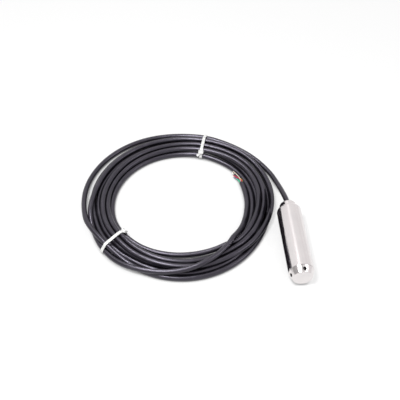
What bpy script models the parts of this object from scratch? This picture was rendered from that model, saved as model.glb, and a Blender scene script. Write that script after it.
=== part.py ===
"""Submersible level transmitter: a stainless pressure probe on its vented cable, which is coiled and tied.

The probe lies along Y with its nose towards -Y, and the coil lies beside it on the same floor at Z = 0.
Lengths are in metres. A distance "along" the probe is measured from its nose, the flat end face of the cap.
"""

import math

import bmesh
import bpy
import numpy as np
from mathutils import Matrix, Vector

# Clearances
CLEAR = 0.0003
EDGE = 0.0003

# Probe, outside
BODY_STEPS = 56
BODY_DIAMETER = 0.028
SHOULDER_RADIUS = 0.003
CAP_LENGTH = 0.0082
CAP_CHAMFER = 0.0034
CAP_END_WALL = 0.0022
SPIGOT_LENGTH = 0.006
SPIGOT_WALL = 0.0021
HOLE_COUNT = 4
HOLE_DIAMETER = 0.0042
HOLE_LEAN = math.radians(45)
HOLE_TURN = math.radians(14)
HOLE_INSET = 0.0013

# Housing tube, inside
FRONT_WALL = 0.002
MIDDLE_WALL = 0.0028
PASSAGE_LENGTH = 0.003
PASSAGE_CLEARANCE = 0.0004

# Pressure sensor and what holds it
NOSE_SEAL_THICKNESS = 0.0008
LOCK_RING_THICKNESS = 0.0018
LOCK_RING_WALL = 0.0011
LOCK_RING_SLOT = 0.0012
SENSOR_LENGTH = 0.011
SENSOR_RIM = 0.001
SENSOR_GROOVE_DEPTH = 0.0016
DIAPHRAGM_THICKNESS = 0.00025
DIAPHRAGM_WAVE = 0.00012
DIAPHRAGM_RINGS = 3
SENSOR_O_RING_SECTION = 0.0013
BACKUP_RING_THICKNESS = 0.001
HOLDER_WALL = 0.0019
HOLDER_FLOOR = 0.0065
HOLDER_LIP = 0.0018
HOLDER_O_RING_SECTION = 0.0018
PIN_COUNT = 5
PIN_DIAMETER = 0.0008
PIN_CIRCLE = 0.0056
PIN_SEAT = 0.0018
PIN_REACH = 0.004

# Electronics
BOARD_LENGTH = 0.044
BOARD_SIDE_ROOM = 0.0022
BOARD_THICKNESS = 0.0016
BOARD_DROP = 0.003
CARRIER_THICKNESS = 0.003
SLOT_DEPTH = 0.0018
WINDOW_WIDTH = 0.015
WINDOW_HEIGHT = 0.0070
WINDOW_SILL = 0.0008
PAD_PITCH = 0.003
PAD_SETBACK = 0.002
INNER_LEAD_DIAMETER = 0.0009
CHIP_WIDTH = 0.0039
CHIP_HEIGHT = 0.0015
CHIP_EDGE = 0.00015
LEG_PITCH = 0.00125
LEG_WIDTH = 0.0005
LEG_REACH = 0.0006
LEG_HEIGHT = 0.0007
CAPACITOR_LENGTH = 0.0032
CAPACITOR_WIDTH = 0.0016
SURGE_DIAMETER = 0.005
SURGE_HEIGHT = 0.003
# Where each part sits on the board, as a share of the board's length and of its width from the middle
CHIPS = {"amplifier_chip": (0.36, -0.17, 7), "regulator_chip": (0.60, 0.21, 4)}
CAPACITOR_SPOTS = ((0.36, 0.28), (0.46, 0.28))
SURGE_SPOT = (0.62, -0.22)

# Cable gland
SEAL_LENGTH = 0.0058
SEAL_WALL = 0.0033
WASHER_THICKNESS = 0.001
SHANK_LENGTH = 0.0032
NECK_DIAMETER = 0.019
NECK_LENGTH = 0.0077
NECK_CHAMFER = 0.0011

# Cable
CABLE_DIAMETER = 0.0062
CABLE_POINT_SPACING = 2.2
VENT_DIAMETER = 0.0016
CORE_DIAMETER = 0.0013
CORE_CIRCLE = 0.0036
CORE_POINT_SPACING = 0.0014

# Coil of cable: the middle of its oval, its height where the turns lie wide and where they bunch up
COIL_CENTRE = Vector((-0.125, 0.074))
COIL_HEIGHT = 0.0118
BUNCH_HEIGHT = 0.0155
BUNCH_WIDTH = 0.026
SPREAD_WIDTH = 0.034
COIL_STEP = 6
COIL_SIDES = 12
COIL_SQUARENESS = 0.6

# Ties round the coil
TIE_WIDTH = 0.0034
TIE_THICKNESS = 0.0009
TIE_HEAD_WIDTH = 0.005
TIE_HEAD_HEIGHT = 0.0044
TIE_HEAD_DEPTH = 0.0030
TIE_TAIL_LENGTH = 0.0075
TIE_TAIL_WIDTH = 0.0030
TIE_CLEARANCE = 0.0005
TIE_REACH = math.radians(9)
TIE_ANGLES = {"tie_upper": math.radians(68.5), "tie_lower": math.radians(218)}

# The coil's outline as photographed: degrees round its middle, outer radius, inner radius.
# It starts where the lead joins the outside, and steps once inwards where the tail leaves the inside.
COIL_OUTLINE = (
    (25.2, 0.1233, 0.0855),
    (44, 0.1200, 0.0822),
    (60, 0.1168, 0.0816),
    (78, 0.1180, 0.0792),
    (90, 0.1210, 0.0780),
    (102, 0.1223, 0.0768),
    (116, 0.1229, 0.0780),
    (144, 0.1232, 0.0817),
    (158, 0.1215, 0.0805),
    (180, 0.1158, 0.0774),
    (206, 0.1106, 0.0781),
    (231, 0.1076, 0.0765),
    (254, 0.1113, 0.0731),
    (272, 0.1147, 0.0729),
    (293, 0.1136, 0.0762),
    (306, 0.1110, 0.0800),
    (320, 0.1078, 0.0816),
    (334, 0.1062, 0.0790),
    (342.9, 0.1090, 0.0772),
    (343.3, 0.1092, 0.0839),
    (352, 0.1119, 0.0840),
    (364, 0.1163, 0.0844),
    (380, 0.1169, 0.0856),
    (384.9, 0.1164, 0.0855),
)

# The lead from the gland to the coil, and the tail from the coil to the stripped end.
LEAD_POINTS = (
    (-0.0002, 0.0615, 0.0133),
    (-0.0012, 0.0714, 0.0110),
    (-0.0026, 0.0820, 0.0082),
    (-0.0044, 0.0927, 0.0056),
    (-0.0068, 0.1030, 0.0038),
    (-0.0100, 0.1130, 0.0032),
    (-0.0156, 0.1241, 0.0032),
)
TAIL_POINTS = (
    (-0.0479, 0.0517, 0.0044),
    (-0.0458, 0.0630, 0.0035),
    (-0.0448, 0.0748, 0.0032),
    (-0.0457, 0.0896, 0.0032),
    (-0.0479, 0.1023, 0.0032),
)
# Where each bare-ended core points beyond the end of the sheath: sideways, onwards and up.
CORE_ENDS = {
    "core_black": (-0.0082, 0.0118, 0.0036),
    "core_yellow": (0.0010, 0.0046, 0.0010),
    "core_red": (-0.0090, 0.0110, -0.0006),
    "core_blue": (-0.0085, 0.0072, -0.0014),
    "core_green": (-0.0064, 0.0034, 0.0010),
}
# Each core first runs on from the sheath, spreading a little, to this share of its reach and of its rise.
CORE_SPREAD = 1.1
CORE_BEND_REACH = 0.35
CORE_BEND_RISE = 0.4
VENT_BEND = (-0.0022, 0.0080, 0.0006)
VENT_END = (-0.0072, 0.0152, 0.0016)

CORE_COLOURS = {
    "core_black": (0.02, 0.02, 0.022),
    "core_yellow": (0.80, 0.62, 0.05),
    "core_red": (0.62, 0.03, 0.04),
    "core_blue": (0.42, 0.52, 0.62),
    "core_green": (0.03, 0.38, 0.12),
}

# Radii that follow from the sizes above
body_radius = BODY_DIAMETER / 2
front_bore = body_radius - FRONT_WALL
middle_bore = body_radius - MIDDLE_WALL
spigot_radius = front_bore - CLEAR
chamber_radius = spigot_radius - SPIGOT_WALL
holder_radius = front_bore - CLEAR
pocket_radius = holder_radius - HOLDER_WALL
sensor_radius = pocket_radius - CLEAR
holder_hole = pocket_radius - HOLDER_LIP
cable_radius = CABLE_DIAMETER / 2
passage_radius = cable_radius + PASSAGE_CLEARANCE
seal_inner = cable_radius + CLEAR
seal_outer = seal_inner + SEAL_WALL
gland_bore = seal_outer + CLEAR
carrier_radius = middle_bore - CLEAR
board_width = 2 * (middle_bore - BOARD_SIDE_ROOM)
board_top = BOARD_THICKNESS / 2 - BOARD_DROP

# Places along the probe, each after the one in front of it
spigot_end = CAP_LENGTH + SPIGOT_LENGTH
seal_ring_start = spigot_end + CLEAR
holder_start = seal_ring_start + NOSE_SEAL_THICKNESS + CLEAR
lock_start = holder_start + CLEAR
sensor_start = lock_start + LOCK_RING_THICKNESS + CLEAR
sensor_end = sensor_start + SENSOR_LENGTH
pocket_floor = sensor_end + CLEAR
holder_end = pocket_floor + HOLDER_FLOOR
bore_step = holder_end + CLEAR
front_carrier_start = bore_step
front_carrier_end = front_carrier_start + CARRIER_THICKNESS
board_start = front_carrier_end - SLOT_DEPTH + CLEAR
board_end = board_start + BOARD_LENGTH
rear_carrier_start = board_end + CLEAR - SLOT_DEPTH
rear_carrier_end = rear_carrier_start + CARRIER_THICKNESS
bore_end = rear_carrier_end + CLEAR
gland_seat = bore_end + PASSAGE_LENGTH
seal_start = gland_seat + CLEAR
washer_start = seal_start + SEAL_LENGTH + CLEAR
shank_start = washer_start + WASHER_THICKNESS + CLEAR
neck_start = shank_start + SHANK_LENGTH
body_end = neck_start - CLEAR
probe_length = neck_start + NECK_LENGTH
sheath_inner_end = bore_end + PASSAGE_LENGTH / 3


def place(along, across=0.0, above=0.0):
    """The world point at a distance along the probe, beside its axis and above it."""
    return Vector((across, along - probe_length / 2, body_radius + above))


def clear_scene():
    for old in list(bpy.data.objects):
        bpy.data.objects.remove(old, do_unlink=True)


def make_collection(name):
    collection = bpy.data.collections.new(name)
    bpy.context.scene.collection.children.link(collection)
    return collection


def material(name, colour, metallic=0.0, roughness=0.5):
    made = bpy.data.materials.new(name)
    made.use_nodes = True
    shader = made.node_tree.nodes["Principled BSDF"]
    shader.inputs["Base Color"].default_value = (*colour, 1.0)
    shader.inputs["Metallic"].default_value = metallic
    shader.inputs["Roughness"].default_value = roughness
    made.diffuse_color = (*colour, 1.0)
    return made


def add(name, data, look):
    made = bpy.data.objects.new(name, data)
    data.materials.append(look)
    probe.objects.link(made)
    return made


def cutter(name, mesh, matrix):
    made = bpy.data.objects.new(name, mesh)
    made.matrix_world = matrix
    made.display_type = "WIRE"
    made.hide_render = True
    cutters.objects.link(made)
    return made


def cut(target, tool, operation="DIFFERENCE"):
    boolean = target.modifiers.new(tool.name, "BOOLEAN")
    boolean.object = tool
    boolean.operation = operation
    boolean.solver = "EXACT"


def box_mesh(name, width, depth, height):
    mesh = bpy.data.meshes.new(name)
    shape = bmesh.new()
    bmesh.ops.create_cube(shape, size=1.0, matrix=Matrix.Diagonal((width, depth, height, 1.0)))
    shape.to_mesh(mesh)
    shape.free()
    return mesh


def rod_mesh(name, radius, length, sides=16):
    """A cylinder along its own Z from 0 to its length."""
    mesh = bpy.data.meshes.new(name)
    shape = bmesh.new()
    bmesh.ops.create_cone(
        shape, cap_ends=True, segments=sides, radius1=radius, radius2=radius, depth=length,
        matrix=Matrix.Translation((0, 0, length / 2)),
    )
    shape.to_mesh(mesh)
    shape.free()
    return mesh


def along_probe(matrix_place):
    """A placement whose own Z points along the probe, from the nose to the cable."""
    return Matrix.Translation(matrix_place) @ Matrix.Rotation(-math.pi / 2, 4, "X")


def arc(along, radius, size, first, last, points=5):
    """Points of an arc in a turned section, its angle measured from outwards towards the rear."""
    turns = np.radians(np.linspace(first, last, points))
    return [(along + size * math.sin(turn), radius + size * math.cos(turn)) for turn in turns]


def turned(name, section, look, steps=40):
    """A piece turned on the lathe from its half section, a list of (along, radius) points."""
    on_axis = any(radius == 0 for _, radius in section)
    area = sum(
        one[1] * two[0] - two[1] * one[0] for one, two in zip(section, section[1:] + section[:1])
    )
    if area > 0:
        section = section[::-1]
    points = [(radius, 0.0, along) for along, radius in section]
    edges = [(i, i + 1) for i in range(len(points) - 1)]
    if not on_axis:
        edges.append((len(points) - 1, 0))
    mesh = bpy.data.meshes.new(name)
    mesh.from_pydata(points, edges, [])
    piece = add(name, mesh, look)
    piece.matrix_world = along_probe(place(0))
    screw = piece.modifiers.new("Turn", "SCREW")
    screw.steps = steps
    screw.render_steps = steps
    screw.use_merge_vertices = True
    screw.merge_threshold = 0.00001
    screw.use_smooth_shade = False
    return piece


def ring_section(start, end, inner, outer):
    """A plain ring's half section."""
    return [(start, inner), (end, inner), (end, outer), (start, outer)]


def smooth_path(points, spacing):
    """A smooth curve through the points, read off at an even spacing."""
    points = [np.array(point) for point in points]
    ends = [2 * points[0] - points[1]] + points + [2 * points[-1] - points[-2]]
    fine = []
    for before, here, there, after in zip(ends, ends[1:], ends[2:], ends[3:]):
        for t in np.linspace(0, 1, 24, endpoint=False):
            fine.append(0.5 * (
                2 * here + (there - before) * t
                + (2 * before - 5 * here + 4 * there - after) * t * t
                + (3 * here - before - 3 * there + after) * t ** 3
            ))
    fine = np.array(fine + [points[-1]])
    travelled = np.concatenate([[0], np.cumsum(np.linalg.norm(np.diff(fine, axis=0), axis=1))])
    count = max(4, round(travelled[-1] / spacing)) + 1
    stops = np.linspace(0, travelled[-1], count)
    return np.stack([np.interp(stops, travelled, fine[:, axis]) for axis in range(3)], axis=1)


def round_wire(name, path, diameter, look, sides_level=2):
    """A round wire, lead or cable along a path."""
    curve = bpy.data.curves.new(name, "CURVE")
    curve.dimensions = "3D"
    curve.bevel_depth = diameter / 2
    curve.bevel_resolution = sides_level
    curve.use_fill_caps = True
    spline = curve.splines.new("POLY")
    spline.points.add(len(path) - 1)
    for point, spot in zip(spline.points, path):
        point.co = (*spot, 1.0)
    return add(name, curve, look)


def build_housing_tube():
    """The tube, its rear end closed by a wall that the cable gland screws into."""
    section = [
        (body_end, gland_bore),
        *arc(body_end - SHOULDER_RADIUS, body_radius - SHOULDER_RADIUS, SHOULDER_RADIUS, 90, 0, 7),
        (CAP_LENGTH + CLEAR + EDGE, body_radius),
        (CAP_LENGTH + CLEAR, body_radius - EDGE),
        (CAP_LENGTH + CLEAR, front_bore + EDGE),
        (CAP_LENGTH + CLEAR + EDGE, front_bore),
        (bore_step, front_bore),
        (bore_step, middle_bore),
        (bore_end, middle_bore),
        (bore_end, passage_radius),
        (gland_seat, passage_radius),
        (gland_seat, gland_bore),
    ]
    turned("housing_tube", section, steel, steps=BODY_STEPS)


def build_nose_cap():
    """The cap that guards the diaphragm: a turned cup with slanted pressure holes through its chamfer."""
    hollow_chamfer = CAP_CHAMFER / 2
    section = [
        (CAP_END_WALL, 0.0),
        (CAP_END_WALL, chamber_radius - hollow_chamfer),
        (CAP_END_WALL + hollow_chamfer, chamber_radius),
        (spigot_end, chamber_radius),
        (spigot_end, spigot_radius - EDGE),
        (spigot_end - EDGE, spigot_radius),
        (CAP_LENGTH, spigot_radius),
        (CAP_LENGTH, body_radius - EDGE),
        (CAP_LENGTH - EDGE, body_radius),
        (CAP_CHAMFER, body_radius),
        (0.0, body_radius - CAP_CHAMFER),
        (0.0, 0.0),
    ]
    cap = turned("nose_cap", section, steel, steps=BODY_STEPS)
    reach_out = HOLE_DIAMETER
    reach_in = (body_radius - chamber_radius) / math.sin(HOLE_LEAN) + HOLE_DIAMETER / 2
    mesh = rod_mesh("pressure_hole", HOLE_DIAMETER / 2, reach_out + reach_in, sides=20)
    mouth_along = CAP_CHAMFER - HOLE_INSET
    mouth_radius = body_radius - HOLE_INSET
    for number in range(HOLE_COUNT):
        turn = HOLE_TURN + number * 2 * math.pi / HOLE_COUNT
        outwards = Vector((math.sin(turn), 0, math.cos(turn)))
        inwards = Vector((0, math.cos(HOLE_LEAN), 0)) - outwards * math.sin(HOLE_LEAN)
        mouth = place(mouth_along) + outwards * mouth_radius
        matrix = inwards.to_track_quat("Z", "Y").to_matrix().to_4x4()
        matrix.translation = mouth - inwards * reach_out
        cut(cap, cutter(f"pressure_hole_{number + 1}", mesh, matrix))


def build_sensor():
    """The oil-filled capsule: a grooved steel body, a rippled diaphragm inside its rim, and header pins."""
    diaphragm_radius = sensor_radius - SENSOR_RIM - CLEAR
    recess = DIAPHRAGM_THICKNESS + 2 * CLEAR + DIAPHRAGM_WAVE
    groove_width = SENSOR_O_RING_SECTION + BACKUP_RING_THICKNESS + 3 * CLEAR
    groove_start = sensor_start + (SENSOR_LENGTH - groove_width) / 2
    groove_radius = sensor_radius - SENSOR_GROOVE_DEPTH
    capsule = turned("sensor_capsule", [
        (sensor_start + recess, 0.0),
        (sensor_start + recess, sensor_radius - SENSOR_RIM),
        (sensor_start, sensor_radius - SENSOR_RIM),
        (sensor_start, sensor_radius),
        (groove_start, sensor_radius),
        (groove_start, groove_radius),
        (groove_start + groove_width, groove_radius),
        (groove_start + groove_width, sensor_radius),
        (sensor_end - EDGE, sensor_radius),
        (sensor_end, sensor_radius - EDGE),
        (sensor_end, 0.0),
    ], steel_bright, steps=32)

    ripples = np.linspace(0, diaphragm_radius, DIAPHRAGM_RINGS * 4 + 1)
    wave = [
        DIAPHRAGM_WAVE * (1 - math.cos(2 * math.pi * DIAPHRAGM_RINGS * r / diaphragm_radius)) / 2
        for r in ripples
    ]
    front = sensor_start + recess - CLEAR - DIAPHRAGM_THICKNESS - DIAPHRAGM_WAVE
    outer_face = [(front + rise, float(r)) for r, rise in zip(ripples, wave)]
    inner_face = [(along + DIAPHRAGM_THICKNESS, r) for along, r in outer_face]
    turned("sensor_diaphragm", outer_face + inner_face[::-1], steel_bright, steps=24)

    ring_middle = (pocket_radius + groove_radius) / 2
    turned("sensor_o_ring", arc(
        groove_start + CLEAR + SENSOR_O_RING_SECTION / 2, ring_middle, SENSOR_O_RING_SECTION / 2, 0, 300, 6,
    ), rubber, steps=24)
    backup_start = groove_start + 2 * CLEAR + SENSOR_O_RING_SECTION
    turned("sensor_backup_ring", ring_section(
        backup_start, backup_start + BACKUP_RING_THICKNESS, groove_radius + CLEAR, sensor_radius,
    ), white_plastic, steps=24)

    pin_mesh = rod_mesh("header_pin", PIN_DIAMETER / 2, PIN_SEAT - CLEAR + PIN_REACH, sides=12)
    seat_mesh = rod_mesh("pin_seat", PIN_DIAMETER / 2 + CLEAR, PIN_SEAT + EDGE, sides=12)
    for number, (across, above) in enumerate(pin_spots()):
        seat = along_probe(place(sensor_end - PIN_SEAT, across, above))
        cut(capsule, cutter(f"pin_seat_{number + 1}", seat_mesh, seat))
        pin = add(f"header_pin_{number + 1}", pin_mesh.copy(), gold)
        pin.matrix_world = along_probe(place(sensor_end - PIN_SEAT + CLEAR, across, above))


def pin_spots():
    """The header pins' places beside and above the axis, the first one at the top."""
    turns = [2 * math.pi * number / PIN_COUNT for number in range(PIN_COUNT)]
    return [(PIN_CIRCLE / 2 * math.sin(turn), PIN_CIRCLE / 2 * math.cos(turn)) for turn in turns]


def build_sensor_holder():
    """The ring that the sensor drops into from the front, sealed in the tube and closed by a lock ring."""
    section_size = HOLDER_O_RING_SECTION
    groove_width = section_size + 2 * CLEAR
    groove_start = pocket_floor + (HOLDER_FLOOR - groove_width) / 2
    groove_radius = front_bore - section_size - 2 * CLEAR
    turned("sensor_holder", [
        (holder_start, pocket_radius),
        (holder_start, holder_radius),
        (groove_start, holder_radius),
        (groove_start, groove_radius),
        (groove_start + groove_width, groove_radius),
        (groove_start + groove_width, holder_radius),
        (holder_end, holder_radius),
        (holder_end, holder_hole),
        (pocket_floor, holder_hole),
        (pocket_floor, pocket_radius),
    ], steel_bright)
    turned("holder_o_ring", arc(
        groove_start + groove_width / 2, front_bore - CLEAR - section_size / 2, section_size / 2, 0, 300, 6,
    ), rubber, steps=32)
    turned("nose_seal_ring", ring_section(
        seal_ring_start, seal_ring_start + NOSE_SEAL_THICKNESS, pocket_radius, holder_radius,
    ), rubber)
    lock_outer = pocket_radius - CLEAR
    lock = turned("sensor_lock_ring", ring_section(
        lock_start, lock_start + LOCK_RING_THICKNESS, lock_outer - LOCK_RING_WALL, lock_outer,
    ), steel_bright, steps=32)
    slot = box_mesh("lock_ring_slot", 2 * pocket_radius, LOCK_RING_SLOT, LOCK_RING_SLOT)
    cut(lock, cutter("lock_ring_slot", slot, Matrix.Translation(place(lock_start))))


def board_carrier(name, start, slot_from):
    """A moulded disc that holds one end of the board in a slot, with a window over it for the leads."""
    disc = turned(name, [
        (start, 0.0),
        (start, carrier_radius - EDGE),
        (start + EDGE, carrier_radius),
        (start + CARRIER_THICKNESS - EDGE, carrier_radius),
        (start + CARRIER_THICKNESS, carrier_radius - EDGE),
        (start + CARRIER_THICKNESS, 0.0),
    ], black_plastic, steps=32)
    slot_length = SLOT_DEPTH + EDGE
    slot = box_mesh(
        f"{name}_slot", board_width + 2 * CLEAR, slot_length, BOARD_THICKNESS + 2 * CLEAR,
    )
    cut(disc, cutter(f"{name}_slot", slot, Matrix.Translation(place(slot_from, 0, -BOARD_DROP))))
    window = box_mesh(f"{name}_window", WINDOW_WIDTH, 2 * CARRIER_THICKNESS, WINDOW_HEIGHT)
    sill = board_top - WINDOW_SILL + WINDOW_HEIGHT / 2
    middle = start + CARRIER_THICKNESS / 2
    cut(disc, cutter(f"{name}_window", window, Matrix.Translation(place(middle, 0, sill))))


def board_place(share_along, share_across, above=0.0):
    """A point over the board's upper face, as shares of its length and of its width from the middle."""
    along = board_start + BOARD_LENGTH * share_along
    return place(along, board_width * share_across, board_top + CLEAR + above)


def chip(name, share_along, share_across, legs):
    """A surface-mounted chip: a moulded body with a row of legs down each side."""
    length = legs * LEG_PITCH
    body = add(name, box_mesh(name, CHIP_WIDTH, length, CHIP_HEIGHT), black_plastic)
    body.location = board_place(share_along, share_across, CHIP_HEIGHT / 2)
    bevel = body.modifiers.new("Edges", "BEVEL")
    bevel.width = CHIP_EDGE
    bevel.segments = 1
    row = bmesh.new()
    for side in (-CHIP_WIDTH / 2, CHIP_WIDTH / 2):
        for number in range(legs):
            spot = (side, (number + 0.5) * LEG_PITCH - length / 2, (LEG_HEIGHT - CHIP_HEIGHT) / 2)
            size = Matrix.Diagonal((2 * LEG_REACH, LEG_WIDTH, LEG_HEIGHT, 1.0))
            bmesh.ops.create_cube(row, size=1.0, matrix=Matrix.Translation(spot) @ size)
    mesh = bpy.data.meshes.new(f"{name}_legs")
    row.to_mesh(mesh)
    row.free()
    cut(body, cutter(f"{name}_legs", mesh, Matrix.Translation(body.location)), "UNION")


def build_electronics():
    """The board on its two carriers, its parts, and the leads at both of its ends."""
    board_carrier("board_carrier_front", front_carrier_start, front_carrier_end - SLOT_DEPTH / 2 + EDGE / 2)
    board_carrier("board_carrier_rear", rear_carrier_start, rear_carrier_start + SLOT_DEPTH / 2 - EDGE / 2)
    board_mesh = box_mesh("circuit_board", board_width, BOARD_LENGTH, BOARD_THICKNESS)
    board = add("circuit_board", board_mesh, green_board)
    board.location = place((board_start + board_end) / 2, 0, -BOARD_DROP)
    for name, facts in CHIPS.items():
        chip(name, *facts)
    for number, spot in enumerate(CAPACITOR_SPOTS):
        mesh = box_mesh("capacitor", CAPACITOR_LENGTH, CAPACITOR_WIDTH, CAPACITOR_WIDTH)
        add(f"capacitor_{number + 1}", mesh, tan_ceramic).location = board_place(*spot, CAPACITOR_WIDTH / 2)
    surge_mesh = rod_mesh("surge_arrester", SURGE_DIAMETER / 2, SURGE_HEIGHT, sides=20)
    add("surge_arrester", surge_mesh, tan_ceramic).location = board_place(*SURGE_SPOT)

    lead_height = board_top + CLEAR + INNER_LEAD_DIAMETER / 2
    order = sorted(range(PIN_COUNT), key=lambda number: pin_spots()[number][0])
    pad_along = front_carrier_end + PAD_SETBACK
    for rank, number in enumerate(order):
        across, above = pin_spots()[number]
        pad = ((rank - (PIN_COUNT - 1) / 2) * PAD_PITCH, lead_height)
        start = sensor_end + PIN_REACH + CLEAR
        inner_lead(f"sensor_lead_{number + 1}", start, (across, above), pad_along, pad, steel_bright)
    core_order = sorted(range(len(CORE_COLOURS)), key=lambda number: core_spot(number)[0])
    pad_along = rear_carrier_start - PAD_SETBACK
    for rank, number in enumerate(core_order):
        name = list(CORE_COLOURS)[number]
        pad = ((rank - (len(CORE_COLOURS) - 1) / 2) * PAD_PITCH, lead_height)
        start = sheath_inner_end - CLEAR
        inner_lead(f"inner_{name}", start, core_spot(number), pad_along, pad, core_looks[name])


def core_spot(number):
    """Where a core leaves the cable's end face, sideways and upwards from its middle."""
    turn = 2 * math.pi * number / len(CORE_COLOURS)
    return CORE_CIRCLE / 2 * math.sin(turn), CORE_CIRCLE / 2 * math.cos(turn)


def inner_lead(name, start, start_spot, end, end_spot, look):
    """A lead that leaves both of its ends along the probe."""
    path = []
    for t in np.linspace(0, 1, 9):
        ease = t * t * (3 - 2 * t)
        across, above = (one + (two - one) * ease for one, two in zip(start_spot, end_spot))
        path.append(place(start + (end - start) * t, across, above))
    round_wire(name, path, INNER_LEAD_DIAMETER, look, sides_level=1)


def build_gland():
    """The cable gland: a rubber sleeve pressed round the cable by a washer and the screwed neck."""
    taper = SEAL_WALL / 4
    turned("gland_seal", [
        (seal_start, seal_inner),
        (seal_start, seal_outer - taper),
        (seal_start + 2 * taper, seal_outer),
        (seal_start + SEAL_LENGTH, seal_outer),
        (seal_start + SEAL_LENGTH, seal_inner),
    ], rubber, steps=32)
    turned("gland_washer", ring_section(
        washer_start, washer_start + WASHER_THICKNESS, seal_inner, seal_outer,
    ), steel_bright, steps=32)
    neck_radius = NECK_DIAMETER / 2
    turned("gland_nut", [
        (shank_start, seal_inner),
        (shank_start, seal_outer - EDGE),
        (shank_start + EDGE, seal_outer),
        (neck_start, seal_outer),
        (neck_start, neck_radius - EDGE),
        (neck_start + EDGE, neck_radius),
        (probe_length - NECK_CHAMFER, neck_radius),
        (probe_length, neck_radius - NECK_CHAMFER),
        (probe_length, seal_inner + EDGE),
        (probe_length - EDGE, seal_inner),
    ], steel)


def coil_at(angle):
    """The coil's outer and inner radius at an angle in radians, and its height there."""
    rows = COIL_OUTLINE + ((COIL_OUTLINE[0][0] + 360, *COIL_OUTLINE[0][1:]),)
    degrees, outer, inner = zip(*rows)
    turn = degrees[0] + (math.degrees(angle) - degrees[0]) % 360
    outer_here = float(np.interp(turn, degrees, outer))
    inner_here = float(np.interp(turn, degrees, inner))
    widths = (BUNCH_WIDTH, SPREAD_WIDTH)
    height = float(np.interp(outer_here - inner_here, widths, (BUNCH_HEIGHT, COIL_HEIGHT)))
    return outer_here, inner_here, height


def tie_lift(angle):
    """How far the coil stands off the floor at an angle, because a tie passes under it."""
    lift = 0.0
    for tie in TIE_ANGLES.values():
        away = (angle - tie + math.pi) % (2 * math.pi) - math.pi
        lift = max(lift, math.exp(-max(0.0, abs(away) - TIE_REACH / 2) ** 2 / (TIE_REACH / 2) ** 2))
    return (TIE_THICKNESS + TIE_CLEARANCE) * lift


def coil_section(angle, grow=0.0, sides=COIL_SIDES):
    """The coil's section at an angle as (radius, height) points: round-cornered, fuller below than above."""
    outer, inner, height = coil_at(angle)
    base = tie_lift(angle)
    middle = (outer + inner) / 2
    half_width = (outer - inner) / 2 + grow
    half_height = height / 2 + grow
    points = []
    for number in range(sides):
        turn = 2 * math.pi * (number + 0.5) / sides
        across, up = math.cos(turn), math.sin(turn)
        square = 1.0 / max(abs(across), abs(up)) ** COIL_SQUARENESS
        points.append((middle + half_width * min(1, max(-1, across * square)),
                       base + height / 2 + half_height * min(1, max(-1, up * square))))
    return points


def coil_place(angle, radius, height):
    return Vector((
        COIL_CENTRE.x + radius * math.cos(angle), COIL_CENTRE.y + radius * math.sin(angle), height,
    ))


def build_cable():
    """The cable's own solids: the lead, the outer shape of the coil, and the tail."""
    spacing = CABLE_POINT_SPACING * CABLE_DIAMETER
    in_gland = [tuple(place(along)) for along in (sheath_inner_end, gland_seat, neck_start, probe_length)]
    round_wire("cable_lead", smooth_path(in_gland + list(LEAD_POINTS), spacing), CABLE_DIAMETER, sheath)
    round_wire("cable_tail", smooth_path(TAIL_POINTS, spacing), CABLE_DIAMETER, sheath)

    angles = [COIL_OUTLINE[0][0]]
    for row, after in zip(COIL_OUTLINE, COIL_OUTLINE[1:]):
        steps = math.ceil((after[0] - row[0]) / COIL_STEP)
        angles.extend(row[0] + (after[0] - row[0]) * (step + 1) / steps for step in range(steps))
    shape = bmesh.new()
    rings = []
    for angle in np.radians(angles):
        rings.append([shape.verts.new(coil_place(angle, *spot)) for spot in coil_section(angle)])
    for one, two in zip(rings, rings[1:] + rings[:1]):
        for number in range(COIL_SIDES):
            after = (number + 1) % COIL_SIDES
            shape.faces.new((one[number], two[number], two[after], one[after]))
    bmesh.ops.recalc_face_normals(shape, faces=shape.faces)
    mesh = bpy.data.meshes.new("cable_coil")
    shape.to_mesh(mesh)
    shape.free()
    add("cable_coil", mesh, sheath)


def build_stripped_end():
    """The cores and the vent tube that stand out of the end of the sheath."""
    path = smooth_path(TAIL_POINTS, CABLE_POINT_SPACING * CABLE_DIAMETER)
    end = Vector(path[-1])
    onwards = (end - Vector(path[-2])).normalized()
    sideways = onwards.cross(Vector((0, 0, 1))).normalized()
    upwards = sideways.cross(onwards)

    def spot(side, on, up):
        return end + sideways * side + onwards * on + upwards * up

    for number, (name, reach) in enumerate(CORE_ENDS.items()):
        side, up = core_spot(number)
        bend_up = up + (reach[2] - up) * CORE_BEND_RISE
        bend = spot(side * CORE_SPREAD, reach[1] * CORE_BEND_REACH, bend_up)
        path = smooth_path([spot(side, CLEAR, up), bend, spot(*reach)], CORE_POINT_SPACING)
        round_wire(name, path, CORE_DIAMETER, core_looks[name])
    path = smooth_path([spot(0, CLEAR, 0), spot(*VENT_BEND), spot(*VENT_END)], CORE_POINT_SPACING)
    round_wire("vent_tube", path, VENT_DIAMETER, white_plastic)


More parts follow.
